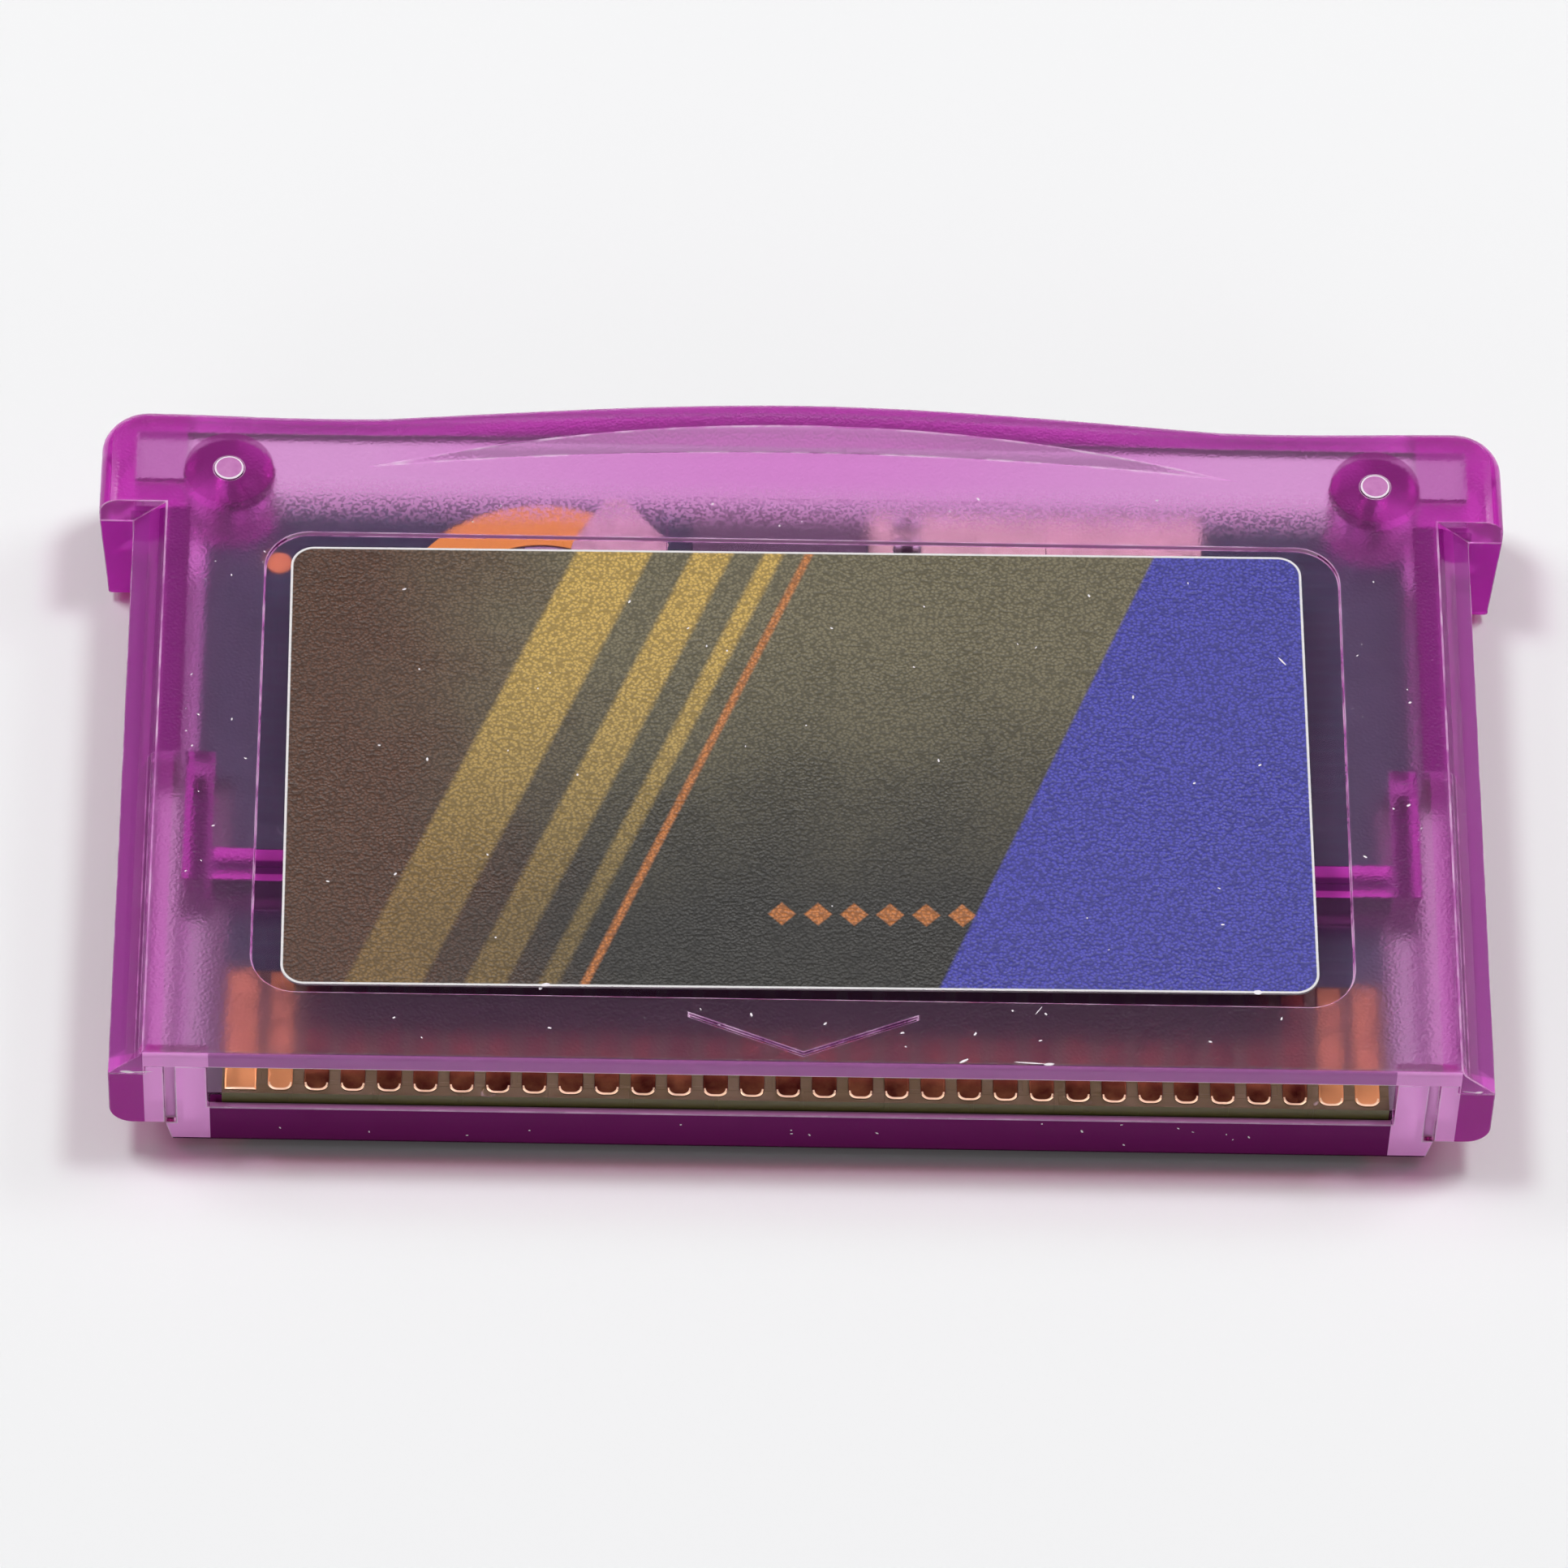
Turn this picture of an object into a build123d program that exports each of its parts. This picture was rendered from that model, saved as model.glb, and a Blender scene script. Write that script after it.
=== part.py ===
from build123d import *
import os

# A translucent game cartridge, lying on its back: X runs across, Y from the connector end to the top edge,
# Z from the back up to the label face. Sizes are in millimetres.

# Body
body_width = 57.2
body_length = 34.5
face_height = 6.3
rim_height = 1.4
front_wall = 0.9
floor_wall = 1.0
side_wall = 1.5
top_wall = 1.0
side_slope = 1.45
face_edge_radius = 0.25

# Ears and the top edge, whose plan dips beside each ear and swells to a crown in the middle
ear_overhang = 1.45
ear_length = 5.2
ear_wall = 1.5
ear_end_wall = 1.65
ear_corner_radius = 2.0
ear_foot_inset = 0.3
ear_foot_reach = 0.35
crown_rise = 0.5
crown_dip = 0.12
crown_dip_inset = 6.2
top_edge_radius = 0.85
foot_edge_radius = 0.4

# Raised crescent along the top of the face
crescent_half_width = 18.0
crescent_rise = 0.65
crescent_run = 0.94
crescent_gap = 2.5
crescent_sweep_radius = 151.0

# Stepped connector end of the rear shell
step_height = 1.4
step_inset = 2.3
back_taper = 0.3
flange_corner_radius = 1.0
end_wall = 0.9
keel_wall = 0.7
mouth_inset = 4.05
stop_lip_height = 0.17
stop_lip_depth = 0.28
end_groove_width = 0.48
end_groove_depth = 0.3
end_groove_inset = 2.52

# Label and its recess
recess_side_margin = 4.3
recess_near_margin = 3.3
recess_far_margin = 6.75
recess_depth = 0.2
recess_radius = 1.9
label_side_gap = 1.35
label_end_gap = 0.575
label_thickness = 0.12
label_radius = 1.0
label_shift = -0.19
label_turn = 0.4

# Insertion chevron cut in the face
chevron_half_width = 4.72
chevron_length = 1.9
chevron_setback = 0.43
chevron_line = 0.16
chevron_depth = 0.12

# Circuit board
board_room = 2.2
board_thickness = 0.8
board_shift = 0.2
board_inset = 2.85
tongue_inset = 4.45
board_side_clearance = 0.2
board_end_clearance = 0.02
board_notch_clearance = 0.15
board_top_gap = 1.65
shoulder_place = 15.45
shoulder_clearance = 0.2
board_ledge = 1.05
rail_width = 1.0
rail_places = (8.0, 20.0)

# Bosses and pins that locate the two shells
boss_diameter = 3.92
boss_inset = 4.05
boss_setback = 3.35
boss_joint_lift = 0.2
pin_diameter = 1.2
pin_clearance = 0.05
shell_clearance = 0.05

# Bar of the front shell over the board, with an arm along each side of the tongue
bar_inset = 2.75
bar_thickness = 1.6
bar_place = 20.4
arm_thickness = 1.17
bar_contact_clearance = 0.1

# Shallow relief inside the front shell
relief_width = 16.2
relief_length = 11.5
relief_place = 2.3
relief_setback = 3.15
relief_radius = 1.2
relief_depth = 0.1

# Case screw
screw_setback = 16.0
screw_diameter = 2.0
screw_head_diameter = 3.8
screw_head_height = 1.1
screw_head_sink = 0.3
screw_length = 3.3
screw_head_clearance = 0.2
screw_hole_clearance = 0.15
screw_seat_diameter = 5.6
screw_boss_diameter = 4.4
screw_boss_clearance = 0.2
screw_drive_width = 0.5
screw_drive_length = 2.2
screw_drive_depth = 0.6

# Plated copper on the board
plating = 0.05
contact_count = 32
contact_side_margin = 0.38
contact_width = 1.04
contact_length = 5.8
contact_radius = 0.4
contact_setback = 0.15
first_contact_extra = 0.28
ground_width = 14.3
ground_length = 6.0
ground_place = (10.05, 3.4)
ground_window_gap = 0.1
test_pad_diameter = 1.1
test_pad_places = ((-22.35, 3.65), (19.6, 3.7), (19.6, 6.2))

# Chips: body width, body length, centre, leads a side, lead pitch
package_thickness = 1.0
package_standoff = 0.1
lead_thickness = 0.12
lead_width = 0.24
lead_reach = 0.7
lead_foot = 0.42
rom_body = (7.4, 11.0)
rom_place = (-0.95, 6.7)
rom_leads_a_side = 13
rom_lead_pitch = 0.5
memory_body = (6.2, 7.6)
memory_place = (9.6, 12.1)
memory_leads_a_side = 9
memory_lead_pitch = 0.65
monitor_body = (3.0, 3.0)
monitor_place = (17.6, 11.1)
monitor_leads_a_side = 4
monitor_lead_pitch = 0.65

# Chip capacitors, resistors and the diode: length, width, height
capacitor_size = (2.0, 1.25, 0.85)
capacitor_places = ((17.6, 15.7), (-20.4, 16.1), (4.4, 17.0), (-6.2, 16.7))
resistor_size = (1.0, 0.5, 0.35)
resistor_places = ((4.55, 1.1), (4.55, 2.25), (-20.6, 8.9), (-20.6, 7.5), (13.4, 17.3), (10.6, 17.3))
end_cap_length = 0.25
diode_size = (2.6, 1.6, 1.0)
diode_place = (-19.9, 12.5)
diode_lead_reach = 0.5
diode_lead_width = 0.6

# Coin cell, its wrap and its tabs
cell_diameter = 12.5
cell_thickness = 1.6
cell_chip_gap = 0.1
cell_far_gap = 1.75
cell_cap_inset = 0.8
cell_cap_height = 0.25
wrap_thickness = 0.1
wrap_opening = 8.6
tab_thickness = 0.1
weld_diameter = 3.0
tab_weld_place = (2.0, 1.6)
tab_tip_width = 0.9
tab_tip_place = (3.1, 6.6)
tab_neck_places = (1.3, 5.4)
tab_neck_drop = 4.4
tab_root_places = (0.5, 3.6)
tab_root_drop = 0.4
tab_foot_length = 0.9
under_tab_width = 3.0
under_tab_reach = 0.9

# Heights and places that several pieces share
body_side = body_width / 2
front_end = -body_length / 2
crown_edge = body_length / 2
ear_side = body_side + ear_overhang
ear_top = crown_edge - crown_rise
ear_low = ear_top - ear_length
face_side = body_side - side_slope
parting_height = face_height - rim_height
inner_face = face_height - front_wall
board_top = inner_face - board_room
board_height = board_top - board_thickness
board_level = (board_height, board_top)
plated = (board_top, board_top + plating)
rim_inner = body_side - side_wall
ear_inner = ear_side - ear_wall
cavity_top = ear_top - top_wall
band_low = ear_low + ear_end_wall
board_width = body_width - 2 * board_inset
tongue_width = body_width - 2 * tongue_inset
board_end = front_end + stop_lip_depth + board_end_clearance
board_far = cavity_top - board_top_gap
contact_near = board_end + contact_setback
contact_far = contact_near + contact_length
board_pocket = board_width / 2 + board_shift + board_side_clearance
shoulder = board_far - shoulder_place
bar_side = body_side - bar_inset
bar_high = board_far - bar_place
bar_low = bar_high - bar_thickness
boss_place = (body_side - boss_inset, ear_top - boss_setback)
boss_joint = board_height + boss_joint_lift
mouth = body_side - mouth_inset
step_side = body_side - step_inset
end_groove = body_side - end_groove_inset
recess_width = 2 * (face_side - recess_side_margin)
recess_near = front_end + recess_near_margin
recess_far = ear_top - recess_far_margin
recess_length = recess_far - recess_near
recess_centre = (recess_near + recess_far) / 2
recess_floor = face_height - recess_depth
screw_place = (0, board_far - screw_setback)
screw_seat = screw_head_sink + screw_head_height
screw_tip = screw_seat + screw_length
wrap_radius = cell_diameter / 2 + wrap_thickness
rom_left = rom_place[0] - rom_body[0] / 2
cell_place = (rom_left - cell_chip_gap - wrap_radius, board_far - cell_far_gap - wrap_radius)
cell_base = board_top + tab_thickness
cell_top = cell_base + cell_thickness
beyond = 2.0


def block(x, y, z):
    """A box between the low and high limits of x, y and z."""
    size = (x[1] - x[0], y[1] - y[0], z[1] - z[0])
    middle = ((x[0] + x[1]) / 2, (y[0] + y[1]) / 2, (z[0] + z[1]) / 2)
    return Pos(*middle) * Box(*size)


def disc(place, diameter, z):
    """An upright cylinder between the heights z."""
    return Pos(place[0], place[1], (z[0] + z[1]) / 2) * Cylinder(diameter / 2, z[1] - z[0])


def slab(outline, z):
    """A flat outline, drawn at height 0, raised between the heights z."""
    return Pos(0, 0, z[0]) * extrude(outline, z[1] - z[0])


def along_y(points, y):
    """A polygon of (x, z) points carried between two places along Y."""
    outline = Polyline(*[(x, y[0], z) for x, z in points], close=True)
    return extrude(make_face(outline), y[1] - y[0], dir=(0, 1, 0))


def both_sides(shape):
    """A shape and its mirror image across the middle plane."""
    return shape + mirror(shape, Plane.YZ)


def at_bosses(diameter, z):
    """An upright cylinder at each of the two corner bosses."""
    return both_sides(disc(boss_place, diameter, z))


def span(middle, width):
    """The low and high limits of a width about its middle."""
    return (middle - width / 2, middle + width / 2)


def on_board(place):
    """The plan position of a place that is given across and down from the far edge of the board."""
    return (place[0], board_far - place[1])


def top_plan(half_span, low):
    """The plan of the top of the cartridge: both ears and the swelling edge between them."""
    corner = ear_corner_radius
    bend = corner * (1 - 0.5**0.5)
    side = Line((half_span, low), (half_span, ear_top - corner))
    turn = ThreePointArc(
        (half_span, ear_top - corner), (half_span - bend, ear_top - bend), (half_span - corner, ear_top)
    )
    flat = half_span - corner
    dip_side, dip = body_side - crown_dip_inset, ear_top - crown_dip
    swell = [(flat, ear_top), (dip_side, dip), (0, crown_edge), (-dip_side, dip), (-flat, ear_top)]
    edge = Spline(swell, tangents=[(-1, 0), (-1, 0)])
    base = Line((-half_span, low), (half_span, low))
    return make_face([side, turn, edge, mirror(turn, Plane.YZ), mirror(side, Plane.YZ), base])


def head_arch():
    """The top of the front shell before rounding: the ears' plan under a face that arches in the middle."""
    top = face_height + crescent_rise
    half = crescent_half_width
    far = ear_side
    start = ear_low
    arch = ThreePointArc((-half, start, face_height), (0, start, top), (half, start, face_height))
    rest = Polyline(
        (half, start, face_height),
        (far, start, face_height),
        (far, start, parting_height),
        (-far, start, parting_height),
        (-far, start, face_height),
        (-half, start, face_height),
    )
    vault = extrude(make_face([arch, rest]), body_length, dir=(0, 1, 0))
    return vault & slab(top_plan(far, ear_low), (parting_height, top + beyond))


def crescent_front():
    """What is cut from the arch to leave a crescent: a flat cone, with its swept edge on the face."""
    rise = crescent_rise + beyond
    lean = crescent_run / crescent_rise
    cone = Cone(crescent_sweep_radius, crescent_sweep_radius + lean * rise, rise)
    sweep_centre = crown_edge - crescent_gap - crescent_sweep_radius
    return Pos(0, sweep_centre, face_height + rise / 2) * cone


def front_outside():
    """The outside of the front shell, still solid."""
    section = [
        (-body_side, parting_height),
        (body_side, parting_height),
        (face_side, face_height),
        (-face_side, face_height),
    ]
    body = along_y(section, (front_end, ear_low + beyond))
    near_edges = body.edges().group_by(Axis.Y)[0]
    body = fillet(near_edges.sort_by(Axis.Z)[-1], face_edge_radius)
    head = head_arch()
    rim = [
        edge
        for edge in head.edges()
        if edge.center().Z > face_height - crescent_rise / 10
        and (edge.center().Y > ear_top - ear_corner_radius / 2 or abs(edge.center().X) > ear_inner)
    ]
    return body + (fillet(rim, top_edge_radius) - crescent_front())


def chevron():
    """The V-shaped insertion mark, pointing at the connector end."""
    tip = front_end + chevron_setback
    high = tip + chevron_length
    half = chevron_half_width
    line = chevron_line * (1 + (chevron_length / half) ** 2) ** 0.5
    lower = [(-half, high), (0, tip), (half, high)]
    upper = [(x, y + line) for x, y in reversed(lower)]
    outline = make_face(Polyline(*lower, *upper, close=True))
    return slab(outline, (face_height - chevron_depth, face_height + beyond))


def label_recess():
    """The shallow recess that the label lies in."""
    outline = Pos(0, recess_centre) * RectangleRounded(recess_width, recess_length, recess_radius)
    return slab(outline, (recess_floor, face_height + beyond))


def front_shell():
    """The label side of the case, with the bar that holds the board and the bosses that take the pins."""
    shell = front_outside()
    under = (parting_height - beyond, inner_face)
    shell -= block((-rim_inner, rim_inner), (front_end - beyond, shoulder), under)
    shell -= block((-board_pocket, board_pocket), (shoulder, cavity_top), under)
    shell -= block((-ear_inner, ear_inner), (band_low, cavity_top), under)
    relief = Pos(relief_place, cavity_top - relief_setback - relief_length / 2)
    relief *= RectangleRounded(relief_width, relief_length, relief_radius)
    shell -= slab(relief, (inner_face, inner_face + relief_depth))
    shell -= label_recess() + chevron()
    shell += block((-bar_side, bar_side), (bar_low, bar_high), (board_top, inner_face))
    arm = (bar_side - arm_thickness, bar_side)
    shell += both_sides(block(arm, (bar_low, shoulder), (board_height + shell_clearance, inner_face)))
    over_contacts = (front_end - beyond, contact_far + bar_contact_clearance)
    shell -= block((-mouth, mouth), over_contacts, (board_height, plated[1] + bar_contact_clearance))
    shell += at_bosses(boss_diameter, (boss_joint, inner_face))
    shell -= at_bosses(pin_diameter + 2 * pin_clearance, (boss_joint, face_height))
    shell += disc(screw_place, screw_boss_diameter, (board_height, inner_face))
    shell -= disc(screw_place, screw_diameter, (board_height, screw_tip))
    return shell


def rear_outside():
    """The outside of the rear shell, still solid: a stepped tray that swells into the ears at the top."""
    right = [
        (step_side - back_taper, 0),
        (step_side, step_height),
        (body_side, step_height),
        (body_side, parting_height),
    ]
    left = [(-x, z) for x, z in reversed(right)]
    body = along_y(right + left, (front_end, ear_low + beyond))
    long_edges = body.edges().filter_by(Axis.Y).sort_by(lambda edge: abs(edge.center().X))[-4:]
    body = fillet(long_edges.group_by(Axis.Z)[0], flange_corner_radius)
    foot = top_plan(ear_side - ear_foot_inset, ear_low - ear_foot_reach)
    top = Pos(0, 0, parting_height) * top_plan(ear_side, ear_low)
    outside = body + loft([foot, top], ruled=True)
    return fillet(outside.edges().group_by(Axis.Z)[0], foot_edge_radius)


def rear_shell():
    """The tray that carries the board, with the stop lip at the mouth, the rails and the locating pins."""
    shell = rear_outside()
    open_top = parting_height + beyond
    inside_end = front_end + end_wall
    keel = step_side - keel_wall
    ledge = board_pocket - board_ledge
    shell -= block((-rim_inner, rim_inner), (inside_end, shoulder), (board_height, open_top))
    shell -= block((-keel, keel), (inside_end, shoulder), (floor_wall, open_top))
    shell -= block((-board_pocket, board_pocket), (shoulder, cavity_top), (board_height, open_top))
    shell -= block((-ledge, ledge), (shoulder, cavity_top), (floor_wall, open_top))
    shell -= block((-ear_inner, ear_inner), (band_low, cavity_top), (floor_wall, open_top))
    lip_top = board_height + stop_lip_height
    shell -= block((-mouth, mouth), (front_end - beyond, inside_end), (lip_top, open_top))
    shell -= block((-mouth, mouth), (front_end + stop_lip_depth, inside_end), (board_height, open_top))
    column = rim_inner - shell_clearance
    shell += both_sides(block((mouth, column), (front_end, inside_end), (step_height, inner_face)))
    cut = (front_end - beyond, front_end + end_groove_depth)
    shell -= both_sides(block(span(end_groove, end_groove_width), cut, (step_height, inner_face)))
    shell -= at_bosses(boss_diameter + 2 * shell_clearance, (boss_joint, open_top))
    shell += at_bosses(boss_diameter, (floor_wall / 2, boss_joint))
    shell += at_bosses(pin_diameter, (boss_joint, face_height))
    for place in rail_places:
        rail = (inside_end, board_far - rail_width)
        shell += both_sides(block(span(place, rail_width), rail, (floor_wall / 2, board_height)))
    shell += disc(screw_place, screw_seat_diameter, (floor_wall / 2, board_height))
    shell -= disc(screw_place, screw_head_diameter + 2 * screw_head_clearance, (-beyond, screw_seat))
    shell -= disc(screw_place, screw_diameter + 2 * screw_hole_clearance, (0, board_height))
    return shell


def case_screw():
    """The cross-recessed screw, driven from the back into the boss of the front shell."""
    screw = disc(screw_place, screw_head_diameter, (screw_head_sink, screw_seat))
    screw += disc(screw_place, screw_diameter, (screw_seat, screw_tip))
    drive = (screw_head_sink, screw_head_sink + screw_drive_depth)
    arm = Rectangle(screw_drive_length, screw_drive_width)
    return screw - slab(Pos(*screw_place) * (arm + Rot(0, 0, 90) * arm), drive)


def label():
    """The printed label, stuck a little askew on the recess floor."""
    width = recess_width - 2 * label_side_gap
    outline = RectangleRounded(width, recess_length - 2 * label_end_gap, label_radius)
    placed = Pos(label_shift, recess_centre) * Rot(0, 0, label_turn) * outline
    return slab(placed, (recess_floor, recess_floor + label_thickness))


def circuit_board():
    """The board: a wide part with notches for the bosses, and a tongue that reaches into the mouth."""
    step = shoulder + shoulder_clearance
    wide = block(span(board_shift, board_width), (step, board_far), board_level)
    tongue = block(span(board_shift, tongue_width), (board_end, step), board_level)
    notches = at_bosses(boss_diameter + 2 * board_notch_clearance, board_level)
    hole = disc(screw_place, screw_boss_diameter + 2 * screw_boss_clearance, board_level)
    return wide + tongue - notches - hole


def edge_contacts():
    """The row of plated fingers on the tongue. The first one is square and a little wider."""
    fingers = []
    row = tongue_width - 2 * contact_side_margin - contact_width
    for index in range(contact_count):
        place = board_shift + row * (index / (contact_count - 1) - 0.5)
        extra = first_contact_extra if index == 0 else 0
        outline = Rectangle(contact_width + extra, contact_length)
        if index > 0:
            outline = fillet(outline.vertices().group_by(Axis.Y)[0], contact_radius)
        outline = Pos(place - extra / 2, contact_near + contact_length / 2) * outline
        fingers.append(slab(outline, plated))
    return fingers


def ground_plane():
    """The bare plated area near the top of the board, with a window around each chip resistor."""
    plane = Pos(*on_board(ground_place)) * Rectangle(ground_width, ground_length)
    window = Rectangle(resistor_size[0] + 2 * ground_window_gap, resistor_size[1] + 2 * ground_window_gap)
    for place in resistor_places:
        plane -= Pos(*on_board(place)) * window
    return slab(plane, plated)


def test_pads():
    """Round plated spots."""
    return [disc(on_board(place), test_pad_diameter, plated) for place in test_pad_places]


def package(body, place):
    """The moulded body of a chip."""
    x, y = on_board(place)
    low = board_top + package_standoff
    return block(span(x, body[0]), span(y, body[1]), (low, low + package_thickness))


def package_leads(body, place, count, pitch):
    """Bent leads along the two ends of a chip, each one down to its foot on the board."""
    exit_height = board_top + package_standoff + package_thickness / 2
    drop = lead_reach - lead_foot
    profile = [
        (0, exit_height + lead_thickness),
        (drop, exit_height + lead_thickness),
        (drop, board_top + lead_thickness),
        (lead_reach, board_top + lead_thickness),
        (lead_reach, board_top),
        (drop - lead_thickness, board_top),
        (drop - lead_thickness, exit_height),
        (0, exit_height),
    ]
    outline = make_face(Polyline(*[(0, y, z) for y, z in profile], close=True))
    lead = Pos(-lead_width / 2) * extrude(outline, lead_width, dir=(1, 0, 0))
    leads = []
    x, y = on_board(place)
    for index in range(count):
        across = x + (index - (count - 1) / 2) * pitch
        leads.append(Pos(across, y + body[1] / 2) * lead)
        leads.append(Pos(across, y - body[1] / 2) * Rot(0, 0, 180) * lead)
    return leads


def chip_bodies(size, places):
    """The bodies of chip capacitors or resistors, between their end caps."""
    length = size[0] - 2 * end_cap_length
    level = (board_top, board_top + size[2])
    return [block(span(x, length), span(y, size[1]), level) for x, y in map(on_board, places)]


def chip_ends(size, places):
    """The soldered end caps of chip capacitors or resistors."""
    caps = []
    offset = (size[0] - end_cap_length) / 2
    level = (board_top, board_top + size[2])
    for x, y in map(on_board, places):
        for middle in (x - offset, x + offset):
            caps.append(block(span(middle, end_cap_length), span(y, size[1]), level))
    return caps


def diode_body():
    """The moulded body of the diode."""
    length, width, height = diode_size
    x, y = on_board(diode_place)
    return block(span(x, length), span(y, width), (board_top, board_top + height))


def diode_leads():
    """The flat lead at each end of the diode."""
    offset = (diode_size[0] + diode_lead_reach) / 2
    x, y = on_board(diode_place)
    width = span(y, diode_lead_width)
    level = (board_top, board_top + lead_thickness)
    return [block(span(middle, diode_lead_reach), width, level) for middle in (x - offset, x + offset)]


def coin_cell():
    """The cell: a can over a slightly narrower cap."""
    cap = disc(cell_place, cell_diameter - 2 * cell_cap_inset, (cell_base, cell_base + cell_cap_height))
    return cap + disc(cell_place, cell_diameter, (cell_base + cell_cap_height, cell_top))


def cell_wrap():
    """The insulating sleeve around the cell's rim, open in the middle of its top."""
    sleeve = disc(cell_place, 2 * wrap_radius, (cell_base, cell_top + wrap_thickness))
    sleeve -= disc(cell_place, cell_diameter, (cell_base, cell_top))
    return sleeve - disc(cell_place, wrap_opening, (cell_top, cell_top + wrap_thickness))


def upper_tab():
    """The tab welded to the top of the cell, drawn to a point over the rim and folded down to the board."""
    x, y = cell_place
    tip_x, tip_y = x + tab_tip_place[0], y + tab_tip_place[1]
    points = [
        (tip_x - tab_tip_width / 2, tip_y),
        (x + tab_neck_places[0], y + tab_neck_drop),
        (x + tab_root_places[0], y + tab_root_drop),
        (x + tab_root_places[1], y + tab_root_drop),
        (x + tab_neck_places[1], y + tab_neck_drop),
        (tip_x + tab_tip_width / 2, tip_y),
    ]
    high = (cell_top + wrap_thickness, cell_top + wrap_thickness + tab_thickness)
    tab = slab(make_face(Polyline(*points, close=True)), high)
    weld = (x + tab_weld_place[0], y + tab_weld_place[1])
    tab += disc(weld, weld_diameter, (cell_top, high[1]))
    tip = span(tip_x, tab_tip_width)
    tab += block(tip, (tip_y, tip_y + tab_thickness), (board_top, high[1]))
    return tab + block(tip, (tip_y, tip_y + tab_foot_length), (board_top, board_top + tab_thickness))


def under_tab():
    """The flat tab between the cell and the board."""
    x, y = cell_place
    return block((x - wrap_radius - under_tab_reach, x), span(y, under_tab_width), (board_top, cell_base))


pieces = {
    "front_shell": front_shell(),
    "rear_shell": rear_shell(),
    "case_screw": case_screw(),
    "label": label(),
    "circuit_board": circuit_board(),
    "edge_contacts": edge_contacts(),
    "ground_plane": ground_plane(),
    "test_pads": test_pads(),
    "rom_chip": package(rom_body, rom_place),
    "rom_leads": package_leads(rom_body, rom_place, rom_leads_a_side, rom_lead_pitch),
    "memory_chip": package(memory_body, memory_place),
    "memory_leads": package_leads(memory_body, memory_place, memory_leads_a_side, memory_lead_pitch),
    "monitor_chip": package(monitor_body, monitor_place),
    "monitor_leads": package_leads(monitor_body, monitor_place, monitor_leads_a_side, monitor_lead_pitch),
    "capacitors": chip_bodies(capacitor_size, capacitor_places),
    "capacitor_ends": chip_ends(capacitor_size, capacitor_places),
    "resistors": chip_bodies(resistor_size, resistor_places),
    "resistor_ends": chip_ends(resistor_size, resistor_places),
    "diode": diode_body(),
    "diode_leads": diode_leads(),
    "coin_cell": coin_cell(),
    "cell_wrap": cell_wrap(),
    "upper_tab": upper_tab(),
    "under_tab": under_tab(),
}

os.makedirs("parts", exist_ok=True)
for name, piece in pieces.items():
    shapes = piece if isinstance(piece, list) else [piece]
    solids = [solid for shape in shapes for solid in shape.solids()]
    export_step(Compound(children=solids), f"parts/{name}.step")
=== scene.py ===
"""Looks of a translucent game cartridge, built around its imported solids.

Lengths are in metres, as in the frame, and MM turns a size in millimetres into metres.
"""

import logging
import math
import random
from contextlib import contextmanager
from dataclasses import dataclass
from enum import Enum
from typing import Callable, Iterator, Optional, Union

import bpy
from mathutils import Matrix, Vector


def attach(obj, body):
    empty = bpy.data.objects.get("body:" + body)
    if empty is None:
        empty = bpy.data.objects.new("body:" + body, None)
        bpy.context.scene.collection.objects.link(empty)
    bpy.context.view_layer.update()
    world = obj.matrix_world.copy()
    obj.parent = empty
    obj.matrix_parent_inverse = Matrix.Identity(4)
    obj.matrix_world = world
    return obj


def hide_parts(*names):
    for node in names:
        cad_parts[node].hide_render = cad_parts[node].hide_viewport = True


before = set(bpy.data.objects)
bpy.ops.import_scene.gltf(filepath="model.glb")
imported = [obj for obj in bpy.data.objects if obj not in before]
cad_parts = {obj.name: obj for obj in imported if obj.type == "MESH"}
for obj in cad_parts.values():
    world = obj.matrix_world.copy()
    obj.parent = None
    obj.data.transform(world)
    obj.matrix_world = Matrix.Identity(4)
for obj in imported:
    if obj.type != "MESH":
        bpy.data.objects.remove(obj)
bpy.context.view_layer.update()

MM = 0.001
ROOT = "root"
EDGE_MARK = "eased_edge"
TOUCH = 0.001 * MM
FLAT_UP = 0.99

log = logging.getLogger("cartridge")

Colour = tuple[float, float, float]
Place = tuple[float, float, float]
Socket = bpy.types.NodeSocket
Value = Union[float, Colour, Socket]
Span = tuple[float, float]
Piece = bpy.types.Object
Node = bpy.types.Node
Tree = bpy.types.NodeTree
Face = bpy.types.MeshPolygon
FaceTest = Callable[[Face], bool]


class Side(Enum):
    """The two sides of the cartridge, as a factor along X."""

    LEFT = -1
    RIGHT = 1


class Lay(Enum):
    """How a pale mark lies on what carries it."""

    FLAT = "flat"
    UPRIGHT = "upright"


# Writing of shader node trees


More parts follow.
